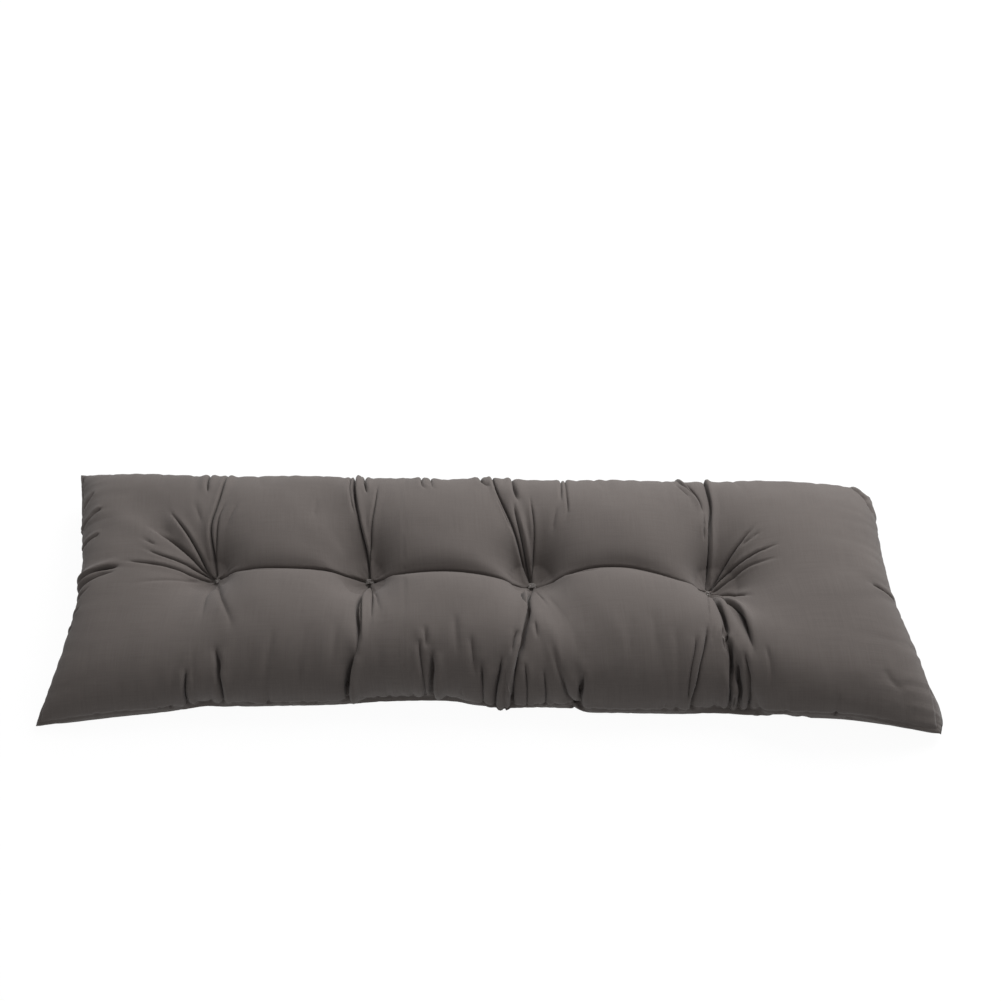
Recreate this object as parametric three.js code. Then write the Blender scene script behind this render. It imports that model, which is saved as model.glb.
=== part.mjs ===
// Bench cushion, in millimetres, +Z up, lying on its back as on a bench or a floor.
//
// A maker cuts two equal panels of cloth, sews them together round the edge and turns them right side
// out, so the seam is a plain knife edge with nothing in it. The cover is filled with loose fibre and
// tied right through with thread at four places. The shape here is found in the same order: the two
// flat panels are joined at the seam, drawn together at the ties, filled, and left to settle on the floor.
import * as THREE from 'three';

// One panel as it is cut, inside its seam allowance
const CUT_LENGTH = 1225;
const CUT_DEPTH = 466;

// Where the four corners of the sewn cover lie. The cushion is hand filled, so they aren't a true
// rectangle, and the back left corner is propped up by its filling.
const CORNERS = {
  frontLeft: [-583, -224, 10],
  frontRight: [613, -218, 10],
  backLeft: [-616, 227, 40],
  backRight: [590, 224, 12],
};

// How far the filling draws each side in at its middle, and how high the seam rides there
const SIDES = {
  front: { drawnIn: 18, rise: 40 },
  back: { drawnIn: 20, rise: 42 },
  left: { drawnIn: 33, rise: 42 },
  right: { drawnIn: 24, rise: 42 },
};

// The ties, from left to right: place, and the heading in degrees and length of the bar of thread
const TIES = [
  { x: -370, y: 0, heading: 60, bar: 4 },
  { x: -155, y: 0, heading: 15, bar: 9 },
  { x: 73, y: -3, heading: 0, bar: 8 },
  { x: 317, y: -13, heading: 30, bar: 5 },
];
const TIE_TOP = 44;
const TIE_UNDER = 32;
const DIMPLE_LIP = 6;
const TIE_COLUMN = { left: -569, right: 579 };
const THREAD_BAR_RADIUS = 1.9;
const BAR_CLEARANCE = 0.4;

// Folds that the ties and the seam draw into the top. Each runs from one point of the plan to
// another, bowed sideways in the middle; width is half of its trough and draw is how hard it is drawn
// in. A fold that starts at a tie names it by its place in the list above.
const FOLDS = [
  // the valleys along the cushion
  { tie: 0, to: [-155, 0], bow: 7, width: 16, draw: 1.0 },
  { tie: 1, to: [73, -3], bow: 5, width: 16, draw: 1.0 },
  { tie: 2, to: [317, -13], bow: 9, width: 16, draw: 0.8 },
  { tie: 0, to: [-508, 2], bow: -3, width: 14, draw: 0.8 },
  { from: [-505, 2], to: [-550, -34], bow: 2, width: 12, draw: 0.9 },
  { from: [542, -30], to: [568, -54], bow: 0, width: 10, draw: 0.9 },
  // up towards the back seam
  { tie: 0, to: [-458, 104], bow: -6, width: 10, draw: 0.8 },
  { tie: 0, to: [-481, 70], bow: -8, width: 10, draw: 0.8 },
  { tie: 0, to: [-481, 28], bow: -4, width: 10, draw: 0.8 },
  { tie: 0, to: [-377, 150], bow: 8, width: 11, draw: 1.0 },
  { tie: 1, to: [-188, 148], bow: 3, width: 11, draw: 1.0 },
  { tie: 1, to: [-153, 116], bow: 4, width: 10, draw: 0.7 },
  { tie: 2, to: [72, 104], bow: 0, width: 10, draw: 0.8 },
  { tie: 2, to: [42, 146], bow: 2, width: 10, draw: 1.0 },
  { tie: 2, to: [8, 156], bow: 6, width: 10, draw: 0.9 },
  { from: [128, 84], to: [117, 168], bow: 0, width: 10, draw: 0.7 },
  { tie: 3, to: [329, 166], bow: 3, width: 11, draw: 1.0 },
  { from: [318, 92], to: [293, 172], bow: 2, width: 10, draw: 1.0 },
  { tie: 3, to: [400, 88], bow: -4, width: 10, draw: 0.7 },
  { tie: 3, to: [415, 44], bow: -4, width: 11, draw: 0.6 },
  // down towards the front seam
  { tie: 0, to: [-326, -136], bow: 5, width: 12, draw: 0.4 },
  { from: [-345, -176], to: [-334, -214], bow: 0, width: 11, draw: 1.0 },
  { from: [-385, -164], to: [-382, -214], bow: 0, width: 10, draw: 0.7 },
  { tie: 1, to: [-160, -164], bow: -3, width: 11, draw: 0.9 },
  { from: [-159, -158], to: [-165, -212], bow: -8, width: 11, draw: 1.0 },
  { tie: 1, to: [-138, -138], bow: -2, width: 10, draw: 0.6 },
  { tie: 2, to: [58, -150], bow: -2, width: 11, draw: 1.0 },
  { from: [58, -146], to: [46, -210], bow: 0, width: 11, draw: 1.0 },
  { from: [33, -162], to: [18, -212], bow: 0, width: 11, draw: 1.0 },
  { from: [-56, -160], to: [-63, -212], bow: 2, width: 10, draw: 0.7 },
  { from: [140, -178], to: [141, -212], bow: 0, width: 10, draw: 0.6 },
  { tie: 3, to: [366, -166], bow: 10, width: 11, draw: 0.9 },
  { tie: 3, to: [339, -210], bow: -4, width: 11, draw: 1.0 },
  { from: [346, -168], to: [347, -212], bow: 0, width: 10, draw: 0.9 },
];

// The filling holds the panels this far apart at most and pushes its hardest when they are closer
// than the softness below that. A fold can't pinch the filling thinner than its least thickness.
const FULL_THICKNESS = 132;
const FILL_SOFTNESS = 60;
const FOLD_DRAW = 3;
const FOLD_LEAST = 45;
const FOLD_MOST = 80;

// The sewing thread gathers the cloth beside the seam: by this share at the seam, and less and less
// over this distance from it
const SEAM_GATHER = 0.025;
const GATHER_REACH = 25;

// The net of points that stands for the cloth: cells along and across one panel, each a multiple of 4
const CELLS_LONG = 104;
const CELLS_DEEP = 40;
const SETTLING_STEPS = 220;
const PASSES = 8;

const CLOTH_COLOUR = 0x6b6460;
const THREAD_COLOUR = 0x7d7671;

const TOP = 0;
const UNDER = 1;
const cellLong = CUT_LENGTH / CELLS_LONG;
const cellDeep = CUT_DEPTH / CELLS_DEEP;

const clamp = THREE.MathUtils.clamp;
const smooth = THREE.MathUtils.smoothstep;

// Points of the net. The panels share the points of the seam, so the cover is one closed skin.
const onSeam = (i, j) => i === 0 || j === 0 || i === CELLS_LONG || j === CELLS_DEEP;
const topPoint = (i, j) => i * (CELLS_DEEP + 1) + j;
const TOP_POINTS = (CELLS_LONG + 1) * (CELLS_DEEP + 1);
const underPoint = (i, j) => (onSeam(i, j) ? topPoint(i, j)
  : TOP_POINTS + (i - 1) * (CELLS_DEEP - 1) + (j - 1));
const point = (panel, i, j) => (panel === TOP ? topPoint(i, j) : underPoint(i, j));
const POINTS = TOP_POINTS + (CELLS_LONG - 1) * (CELLS_DEEP - 1);

// A point of one side of the seam, from corner a to corner b: bowed inwards and lifted in the middle
function seamPoint(a, b, t, inward, { drawnIn, rise }) {
  const bell = Math.sin(Math.PI * t) ** 0.8;
  const lifted = smooth(Math.min(t, 1 - t) / 0.2, 0, 1);
  const straight = a.map((value, axis) => value + (b[axis] - value) * t);
  return new THREE.Vector3(
    straight[0] + inward[0] * drawnIn * bell,
    straight[1] + inward[1] * drawnIn * bell,
    straight[2] * (1 - lifted) + rise * lifted,
  );
}

const { frontLeft, frontRight, backLeft, backRight } = CORNERS;
const seamFront = (t) => seamPoint(frontLeft, frontRight, t, [0, 1], SIDES.front);
const seamBack = (t) => seamPoint(backLeft, backRight, t, [0, -1], SIDES.back);
const seamLeft = (t) => seamPoint(frontLeft, backLeft, t, [1, 0], SIDES.left);
const seamRight = (t) => seamPoint(frontRight, backRight, t, [-1, 0], SIDES.right);

// The surface spanned by the four sides of the seam, halfway between the panels
function middle(u, v) {
  const result = seamFront(u).multiplyScalar(1 - v);
  result.addScaledVector(seamBack(u), v);
  result.addScaledVector(seamLeft(v), 1 - u);
  result.addScaledVector(seamRight(v), u);
  result.addScaledVector(new THREE.Vector3(...frontLeft), -(1 - u) * (1 - v));
  result.addScaledVector(new THREE.Vector3(...frontRight), -u * (1 - v));
  result.addScaledVector(new THREE.Vector3(...backLeft), -(1 - u) * v);
  result.addScaledVector(new THREE.Vector3(...backRight), -u * v);
  return result;
}

// The point of the net that each tie goes through
const tiePins = TIES.map((tie) => {
  const along = (tie.x - TIE_COLUMN.left) / (TIE_COLUMN.right - TIE_COLUMN.left);
  return { ...tie, i: 2 * Math.round((along * CELLS_LONG) / 2), j: CELLS_DEEP / 2 };
});

// The cover just after it is sewn: both panels loosely apart, and close together at the ties
function sewnCover() {
  const START_LOFT = 50;
  const TIE_REACH = 70;
  const place = new Float64Array(POINTS * 3);
  for (let i = 0; i <= CELLS_LONG; i += 1) {
    for (let j = 0; j <= CELLS_DEEP; j += 1) {
      const [u, v] = [i / CELLS_LONG, j / CELLS_DEEP];
      const edge = (1 - Math.abs(2 * u - 1) ** 6) * (1 - Math.abs(2 * v - 1) ** 3);
      let loft = START_LOFT * edge;
      for (const pin of tiePins) {
        const reach = Math.hypot((i - pin.i) * cellLong, (j - pin.j) * cellDeep) / TIE_REACH;
        loft *= 1 - 0.95 * Math.exp(-reach);
      }
      const base = middle(u, v);
      place.set([base.x, base.y, base.z + loft], topPoint(i, j) * 3);
      if (!onSeam(i, j)) {
        place.set([base.x, base.y, base.z - 0.7 * loft], underPoint(i, j) * 3);
      }
    }
  }
  return place;
}

// The threads of the cloth between neighbouring points: straight ones hardly stretch, and the weave
// gives on the slant. Cloth pulls more than it pushes. Three points in a row on one straight thread
// bend together.
function weave() {
  const STRAIGHT = { pull: 1.0, push: 0.6 };
  const SLANTED = { pull: 0.5, push: 0.2 };
  const threads = [];
  const bends = [];
  const inside = (i, j) => i <= CELLS_LONG && j >= 0 && j <= CELLS_DEEP;
  const add = (panel, i, j, di, dj, kind) => {
    if (inside(i + di, j + dj)) {
      const fromSeam = Math.min(i * cellLong, (CELLS_LONG - i) * cellLong, j * cellDeep,
        (CELLS_DEEP - j) * cellDeep);
      const gather = 1 - SEAM_GATHER * Math.exp(-fromSeam / GATHER_REACH);
      const length = gather * Math.hypot(di * cellLong, dj * cellDeep);
      const [a, b] = [point(panel, i, j) * 3, point(panel, i + di, j + dj) * 3];
      threads.push([a, b, length, kind.pull, kind.push]);
      if (kind === STRAIGHT && inside(i + 2 * di, j + 2 * dj)) {
        bends.push([a, b, point(panel, i + 2 * di, j + 2 * dj) * 3]);
      }
    }
  };
  for (const panel of [TOP, UNDER]) {
    for (let i = 0; i <= CELLS_LONG; i += 1) {
      for (let j = 0; j <= CELLS_DEEP; j += 1) {
        add(panel, i, j, 1, 0, STRAIGHT);
        add(panel, i, j, 0, 1, STRAIGHT);
        add(panel, i, j, 1, 1, SLANTED);
        add(panel, i, j, 1, -1, SLANTED);
      }
    }
  }
  return { threads, bends };
}

function pullThread(place, [a, b, length, pull, push]) {
  const dx = place[b] - place[a];
  const dy = place[b + 1] - place[a + 1];
  const dz = place[b + 2] - place[a + 2];
  const now = Math.sqrt(dx * dx + dy * dy + dz * dz);
  const share = (0.5 * (now > length ? pull : push) * (now - length)) / Math.max(now, 1e-6);
  place[a] += share * dx;
  place[a + 1] += share * dy;
  place[a + 2] += share * dz;
  place[b] -= share * dx;
  place[b + 1] -= share * dy;
  place[b + 2] -= share * dz;
}

// Stiffness: a point is drawn towards the middle of its two neighbours on the same thread
function straighten(place, [a, b, c], amount) {
  for (let axis = 0; axis < 3; axis += 1) {
    const lag = amount * (0.5 * (place[a + axis] + place[c + axis]) - place[b + axis]);
    place[b + axis] += lag * 0.5;
    place[a + axis] -= lag * 0.25;
    place[c + axis] -= lag * 0.25;
  }
}

// How hard the folds draw in a point of the plan: 0 away from them, 1 in the middle of a firm one
function foldDraw(x, y) {
  const STRETCHES = 10;
  let most = 0;
  for (const fold of FOLDS) {
    const [ax, ay] = fold.from ?? [TIES[fold.tie].x, TIES[fold.tie].y];
    const [dx, dy] = [fold.to[0] - ax, fold.to[1] - ay];
    const run = Math.hypot(dx, dy);
    for (let k = 0; k <= STRETCHES; k += 1) {
      const t = k / STRETCHES;
      const bow = fold.bow * 4 * t * (1 - t);
      const away = Math.hypot(x - ax - dx * t + (dy / run) * bow, y - ay - dy * t - (dx / run) * bow);
      const reach = Math.max(fold.width, run / STRETCHES / 2);
      const fade = 1 - 0.4 * t;
      most = Math.max(most, fold.draw * fade * Math.exp(-((away / reach) ** 2)));
    }
  }
  return most;
}

// The way out of the cloth at a point, one unit long where the cloth is flat and unstretched
function outward(place, panel, i, j, result) {
  const [west, east] = [Math.max(i - 1, 0), Math.min(i + 1, CELLS_LONG)];
  const [south, north] = [Math.max(j - 1, 0), Math.min(j + 1, CELLS_DEEP)];
  const [w, e, s, n] = [point(panel, west, j), point(panel, east, j), point(panel, i, south),
    point(panel, i, north)].map((index) => index * 3);
  const scale = (panel === TOP ? 1 : -1) / ((east - west) * cellLong * (north - south) * cellDeep);
  const [ux, uy, uz] = [place[e] - place[w], place[e + 1] - place[w + 1], place[e + 2] - place[w + 2]];
  const [vx, vy, vz] = [place[n] - place[s], place[n + 1] - place[s + 1], place[n + 2] - place[s + 2]];
  result[0] = scale * (uy * vz - uz * vy);
  result[1] = scale * (uz * vx - ux * vz);
  result[2] = scale * (ux * vy - uy * vx);
}

// Fills the cover and lets it come to rest on the floor
function settle(place) {
  const FILL_PUSH = 0.35;
  const KEPT_SPEED = 0.9;
  const STIFFNESS = 0.15;
  const SEAM_HOLD = 0.1;
  const LEAST_THICKNESS = 2;
  const FOLD_REFRESH = 44;
  const { threads, bends } = weave();
  const before = Float64Array.from(place);
  const drawn = new Float64Array(POINTS);
  const push = [0, 0, 0];
  const force = new Float64Array(POINTS * 3);
  for (let step = 0; step < SETTLING_STEPS; step += 1) {
    if (step % FOLD_REFRESH === 0) {
      for (let p = 0; p < TOP_POINTS; p += 1) {
        drawn[p] = FOLD_DRAW * foldDraw(place[p * 3], place[p * 3 + 1]);
      }
    }
    force.fill(0);
    for (let i = 0; i <= CELLS_LONG; i += 1) {
      for (let j = 0; j <= CELLS_DEEP; j += 1) {
        const [top, under] = [topPoint(i, j) * 3, underPoint(i, j) * 3];
        const apart = place[top + 2] - place[under + 2];
        const fill = clamp((FULL_THICKNESS - apart) / FILL_SOFTNESS, -0.5, 1);
        const fold = drawn[top / 3] * clamp((apart - FOLD_LEAST) / (FOLD_MOST - FOLD_LEAST), 0, 1);
        for (const [panel, at, strength] of [[TOP, top, fill - fold], [UNDER, under, fill]]) {
          outward(place, panel, i, j, push);
          for (let axis = 0; axis < 3; axis += 1) {
            force[at + axis] += FILL_PUSH * strength * push[axis];
          }
        }
      }
    }
    for (let k = 0; k < place.length; k += 1) {
      const speed = (place[k] - before[k]) * KEPT_SPEED;
      before[k] = place[k];
      place[k] += speed + force[k];
    }
    for (let pass = 0; pass < PASSES; pass += 1) {
      for (const thread of threads) {
        pullThread(place, thread);
      }
      for (const bend of bends) {
        straighten(place, bend, STIFFNESS);
      }
      drawTiesIn(place);
      for (let i = 1; i < CELLS_LONG; i += 1) {
        for (let j = 1; j < CELLS_DEEP; j += 1) {
          const [top, under] = [topPoint(i, j) * 3 + 2, underPoint(i, j) * 3 + 2];
          const short = Math.max(LEAST_THICKNESS - place[top] + place[under], 0);
          place[top] += short / 2;
          place[under] -= short / 2;
        }
      }
      for (let z = 2; z < place.length; z += 3) {
        place[z] = Math.max(place[z], 0);
      }
    }
    holdSeam(place, SEAM_HOLD);
  }
}

// The cushion's weight presses its underside flat where it nearly touches the floor
function restOnFloor(place) {
  const PRESSED_FLAT = 3;
  const EASED = 12;
  for (let p = 0; p < POINTS; p += 1) {
    const z = place[p * 3 + 2];
    if (z < EASED) {
      place[p * 3 + 2] = (Math.max(z - PRESSED_FLAT, 0) * EASED) / (EASED - PRESSED_FLAT);
    }
  }
}

// Each tie holds the panels close together, and the cloth beside it makes a small dimple
function drawTiesIn(place) {
  for (const pin of tiePins) {
    for (const [di, dj] of [[-1, 0], [1, 0], [0, -1], [0, 1]]) {
      const lip = topPoint(pin.i + di, pin.j + dj) * 3 + 2;
      const underLip = underPoint(pin.i + di, pin.j + dj) * 3 + 2;
      place[lip] = Math.min(place[lip], TIE_TOP + DIMPLE_LIP);
      place[underLip] = Math.max(place[underLip], TIE_UNDER - DIMPLE_LIP);
    }
    place.set([pin.x, pin.y, TIE_TOP], topPoint(pin.i, pin.j) * 3);
    place.set([pin.x, pin.y, TIE_UNDER], underPoint(pin.i, pin.j) * 3);
  }
}

// The seam keeps near the line that the corners and the drawn-in sides give
function holdSeam(place, amount) {
  const ease = (index, target) => {
    target.toArray().forEach((value, axis) => {
      place[index * 3 + axis] += amount * (value - place[index * 3 + axis]);
    });
  };
  for (let i = 0; i <= CELLS_LONG; i += 1) {
    ease(topPoint(i, 0), seamFront(i / CELLS_LONG));
    ease(topPoint(i, CELLS_DEEP), seamBack(i / CELLS_LONG));
  }
  for (let j = 1; j < CELLS_DEEP; j += 1) {
    ease(topPoint(0, j), seamLeft(j / CELLS_DEEP));
    ease(topPoint(CELLS_LONG, j), seamRight(j / CELLS_DEEP));
  }
}

// The skin of the filled cover. The top, which shows, has a face for each half cell. The underside,
// which mostly lies flat, has every second point, and meets the top at every point of the seam.
function cushionGeometry() {
  const place = sewnCover();
  settle(place);
  restOnFloor(place);
  const faces = [];
  const apart = (a, b) => Math.hypot(...[0, 1, 2].map((axis) => place[a * 3 + axis] - place[b * 3 + axis]));
  for (let i = 0; i < CELLS_LONG; i += 1) {
    for (let j = 0; j < CELLS_DEEP; j += 1) {
      const [a, b, c, d] = [[i, j], [i + 1, j], [i + 1, j + 1], [i, j + 1]].map((at) => topPoint(...at));
      if (apart(a, c) < apart(b, d)) {
        faces.push(a, b, c, a, c, d);
      } else {
        faces.push(a, b, d, b, c, d);
      }
    }
  }
  for (let i = 0; i < CELLS_LONG; i += 2) {
    for (let j = 0; j < CELLS_DEEP; j += 2) {
      const ring = [[i, j], [i + 1, j], [i + 2, j], [i + 2, j + 1], [i + 2, j + 2], [i + 1, j + 2],
        [i, j + 2], [i, j + 1]].filter(([k, l], corner) => corner % 2 === 0 || onSeam(k, l));
      const hubI = i < CELLS_LONG / 2 ? i + 2 : i;
      const hubJ = j < CELLS_DEEP / 2 ? j + 2 : j;
      const first = ring.findIndex(([k, l]) => k === hubI && l === hubJ);
      const fan = [...ring.slice(first), ...ring.slice(0, first)].map(([k, l]) => underPoint(k, l));
      for (let k = 1; k + 1 < fan.length; k += 1) {
        faces.push(fan[0], fan[k + 1], fan[k]);
      }
    }
  }
  const used = [...new Set(faces)];
  const order = new Map(used.map((old, fresh) => [old, fresh]));
  const corners = used.flatMap((old) => [place[old * 3], place[old * 3 + 1], place[old * 3 + 2]]);
  const geometry = new THREE.BufferGeometry();
  geometry.setAttribute('position', new THREE.Float32BufferAttribute(corners, 3));
  geometry.setIndex(faces.map((old) => order.get(old)));
  geometry.computeVertexNormals();
  return geometry;
}

const clothMaterial = new THREE.MeshStandardMaterial({ color: CLOTH_COLOUR, roughness: 0.9, metalness: 0 });
const threadMaterial = new THREE.MeshStandardMaterial({ color: THREAD_COLOUR, roughness: 0.7, metalness: 0 });

const cushion = new THREE.Mesh(cushionGeometry(), clothMaterial);
cushion.name = 'cushion';
cushion.updateMatrixWorld();

// The short bar of thread that a tie leaves on the cloth, pulled down into its dimple until it
// touches. side is 1 on top and -1 underneath.
function threadBar(tie, side) {
  const geometry = new THREE.CapsuleGeometry(THREAD_BAR_RADIUS, tie.bar, 3, 8);
  geometry.rotateZ(THREE.MathUtils.degToRad(tie.heading - 90));
  const corners = geometry.getAttribute('position');
  const FAR = 500;
  const towards = new THREE.Vector3(0, 0, -side);
  const ray = new THREE.Raycaster();
  let seat = -Infinity;
  for (let k = 0; k < corners.count; k += 1) {
    const corner = new THREE.Vector3().fromBufferAttribute(corners, k);
    ray.set(new THREE.Vector3(tie.x + corner.x, tie.y + corner.y, side * FAR), towards);
    const [hit] = ray.intersectObject(cushion);
    seat = Math.max(seat, side * (hit.point.z - corner.z));
  }
  const bar = new THREE.Mesh(geometry, threadMaterial);
  bar.position.set(tie.x, tie.y, side * (seat + BAR_CLEARANCE));
  return bar;
}

const group = new THREE.Group();
group.add(cushion);
TIES.forEach((tie, index) => {
  for (const [side, word] of [[1, 'top'], [-1, 'under']]) {
    const bar = threadBar(tie, side);
    bar.name = `tie_${word}_${index + 1}`;
    group.add(bar);
  }
});

// The origin is on the floor, under the middle of the cushion
const bounds = new THREE.Box3().setFromObject(cushion);
const centre = bounds.getCenter(new THREE.Vector3());
group.position.set(-centre.x, -centre.y, -bounds.min.z);

export default group;
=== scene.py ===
# %% [markdown]
# # A tied bench cushion
# The real object is a long cloth cover, sewn from two equal panels and turned right side out, filled
# with loose fibre and tied right through with thread at four places. Nothing on it is hard, so all of
# its looks come from cloth under tension: plump lobes, valleys between the ties, and fine folds that
# run out from each tie and from the seam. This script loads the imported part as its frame, sets the
# photograph's camera, lets a net of points settle as that cover would, and then gives it its weave.

import math

import bpy
import numpy as np
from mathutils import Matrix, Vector


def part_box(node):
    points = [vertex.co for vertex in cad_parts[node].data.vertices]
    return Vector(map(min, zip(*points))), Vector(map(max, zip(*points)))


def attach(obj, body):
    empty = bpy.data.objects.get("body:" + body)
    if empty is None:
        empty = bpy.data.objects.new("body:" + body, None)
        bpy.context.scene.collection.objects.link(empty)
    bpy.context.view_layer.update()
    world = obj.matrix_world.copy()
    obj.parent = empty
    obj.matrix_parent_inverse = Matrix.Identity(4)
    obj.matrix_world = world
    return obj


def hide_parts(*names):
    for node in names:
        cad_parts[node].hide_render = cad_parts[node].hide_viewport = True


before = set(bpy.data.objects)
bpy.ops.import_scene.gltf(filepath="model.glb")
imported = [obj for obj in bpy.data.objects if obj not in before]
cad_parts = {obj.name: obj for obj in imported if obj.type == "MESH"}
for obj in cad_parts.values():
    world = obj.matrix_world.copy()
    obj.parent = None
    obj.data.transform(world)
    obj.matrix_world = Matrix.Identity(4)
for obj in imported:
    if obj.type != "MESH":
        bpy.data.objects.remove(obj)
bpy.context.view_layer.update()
cad_low, cad_high = (np.array(corner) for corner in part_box("cushion"))
print("cushion solid in the frame, metres:", np.round(cad_high - cad_low, 3))

# %% [markdown]
# ## The camera
# The photograph looks down on the cushion at a little over forty degrees, with the long front edge
# towards the camera and almost no lean. A plain lens far from the cushion keeps its far edge nearly
# as long as its near one. The camera could be aimed with a constraint, but a place and two angles
# say the same with nothing left to evaluate.

# %% Camera
LENS_MM = 55.0
SENSOR_MM = 36.0
CAMERA_PLACE = Vector((0.0546, -1.4806, 1.618))
CAMERA_PITCH = math.radians(43.5)
CAMERA_YAW = math.radians(1.1)

looking = Vector((-math.sin(CAMERA_YAW) * math.cos(CAMERA_PITCH),
                  math.cos(CAMERA_YAW) * math.cos(CAMERA_PITCH),
                  -math.sin(CAMERA_PITCH)))
camera_data = bpy.data.cameras.new("photo_camera")
camera_data.lens = LENS_MM
camera_data.sensor_width = SENSOR_MM
camera = bpy.data.objects.new("photo_camera", camera_data)
camera.location = CAMERA_PLACE
camera.rotation_euler = looking.to_track_quat("-Z", "Y").to_euler()
bpy.context.scene.collection.objects.link(camera)
bpy.context.scene.camera = camera
print("camera", tuple(round(value, 3) for value in CAMERA_PLACE))

# %% [markdown]
# ## The sewn cover before it is filled
# The cover is two flat rectangles of cloth joined all the way round. Its cut size is larger than the
# finished cushion, because the filling takes cloth up into the crown. The seam doesn't run straight:
# each side bows inwards, the back and the ends ride up off the floor, and the front lies low, with a
# notch where a deep fold meets it. A curve with control points could hold it, but a table of places is
# easier to read and mend. The places were picked in the photograph, turned into millimetres
# through the camera above, and mended.

# %% Cut size and the places of the seam
# Columns in millimetres from the frame's origin: x to the right, y away from the camera, z up.
MM = 0.001
CUT_LENGTH = 1.225
CUT_DEPTH = 0.466
SEAM = {
    "front": {
        "x": (-586, -560, -517, -485, -456, -424, -390, -372, -358, -344, -322, -308, -254, -227, -183,
              -148, -93, -49, -21, -10, 14, 29, 52, 86, 115, 129, 134, 139, 150, 162, 258, 292, 299, 343,
              361, 372, 388, 405, 438, 471, 500, 530, 546, 568, 610),
        "y": (-229, -225, -216, -210, -207, -201, -191, -184, -182, -187, -184, -189, -186, -188, -180,
              -173, -169, -169, -172, -179, -186, -189, -188, -182, -183, -178, -172, -182, -190, -192,
              -190, -187, -183, -181, -185, -187, -203, -208, -212, -214, -215, -223, -226, -228, -223),
        "z": (6, 6, 9, 10, 10, 9, 9, 8, 8, 8, 8, 8, 8, 8, 8,
              8, 8, 10, 10, 8, 8, 8, 8, 8, 8, 8, 10, 8, 8, 8,
              8, 8, 8, 8, 9, 12, 24, 32, 35, 36, 36, 34, 32, 26, 10),
    },
    "back": {
        "x": (-619, -560, -450, -300, 0, 300, 430, 530, 587),
        "y": (226, 217, 209, 205, 203, 205, 210, 216, 223),
        "z": (40, 42, 42, 42, 42, 42, 42, 34, 12),
    },
    "left": {
        "x": (-586, -581, -561, -554, -552, -570, -590, -605, -619),
        "y": (-229, -208, -162, -96, -38, 40, 105, 173, 226),
        "z": (6, 18, 33, 40, 42, 42, 42, 42, 40),
    },
    "right": {
        "x": (610, 617, 614, 596, 577, 566, 566, 571, 580, 587),
        "y": (-223, -204, -183, -140, -74, -16, 64, 130, 185, 223),
        "z": (10, 12, 20, 34, 40, 42, 40, 36, 25, 12),
    },
}
print("the front seam has", len(SEAM["front"]["x"]), "places, the back", len(SEAM["back"]["x"]))


# %% The line of the seam
SEAM_ROUNDING = 0.007
SIDE_STEPS = 600
MEASURING_POINTS = 400


def smooth(t):
    """0 below 0, 1 above 1, and an S between."""
    t = np.clip(t, 0, 1)
    return t * t * (3 - 2 * t)


def travelled_along(places):
    """How far each place is from the first one, along the line through them."""
    return np.concatenate([[0], np.cumsum(np.linalg.norm(np.diff(places, axis=0), axis=1))])


def placed_at(wanted, known, places):
    """The places at the wanted distances, read off between those that are known."""
    return np.stack([np.interp(wanted, known, column) for column in places.T], -1)


def rounded(line, passes):
    """A line with its corners eased: each pass draws a point half way to the middle of its neighbours."""
    for _ in range(passes):
        line[1:-1] += 0.25 * (line[:-2] + line[2:] - 2 * line[1:-1])
    return line


def side_line(name, t):
    """Points along one side of the seam; t runs from 0 at its first corner to 1 at its second."""
    table = np.array([SEAM[name][column] for column in "xyz"], float).T * MM
    travelled = travelled_along(table)
    fine = np.linspace(0, 1, SIDE_STEPS + 1)
    passes = int((SEAM_ROUNDING / travelled[-1] * SIDE_STEPS) ** 2)
    line = rounded(placed_at(fine * travelled[-1], travelled, table), passes)
    return placed_at(t, fine, line)


for name in SEAM:
    line = side_line(name, np.linspace(0, 1, MEASURING_POINTS))
    print(name, "seam, metres:", np.round(travelled_along(line)[-1], 3))

# %% Where the ties hold the cloth
# Each tie holds the cloth a little below the thread on top and a little above the thread underneath.
TIE_SINK = 0.0012
tie_places = []
tie_tops = []
tie_unders = []
for number in range(1, 5):
    low, high = (np.array(corner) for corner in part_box(f"tie_top_{number}"))
    tie_places.append((low + high)[:2] / 2)
    tie_tops.append(low[2] - TIE_SINK)
    tie_unders.append(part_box(f"tie_under_{number}")[1][2] + TIE_SINK)
left_end = side_line("left", np.array([0.5]))[0, 0]
right_end = side_line("right", np.array([0.5]))[0, 0]
tie_columns = [(x - left_end) / (right_end - left_end) * CUT_LENGTH for x, y in tie_places]
print("ties along the cut panel, metres:", np.round(tie_columns, 3))

# %% [markdown]
# ## A net that is finer where the folds are
# The cloth is a net of points with straight threads both ways. Even spacing would waste points on
# the smooth lobes, so the threads lie closer near the ties, along the middle and beside the seam,
# where the folds are sharp. The net is settled coarse first and then made finer three times, which
# gives the big shape quickly and leaves the fine levels only the fine work.

# %% Spacing of the net
CELLS_LONG = 56
CELLS_DEEP = 20
FINER_LEVELS = 3
NET_SAMPLES = 8001
# How much closer the threads lie at a place, and how far to each side that reaches, in metres.
CLOSER_AT_ENDS = 0.3
ENDS_REACH = 0.02
CLOSER_AT_TIES = 1.1
TIES_REACH = 0.055
CLOSER_AT_MIDDLE = 0.9
MIDDLE_REACH = 0.035
CLOSER_AT_FRONT = 0.8
CLOSER_AT_BACK = 0.5
SIDES_REACH = 0.03


def hump(x, middle, width):
    """1 at its middle, falling off on both sides."""
    return np.exp(-((x - middle) / width) ** 2)


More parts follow.
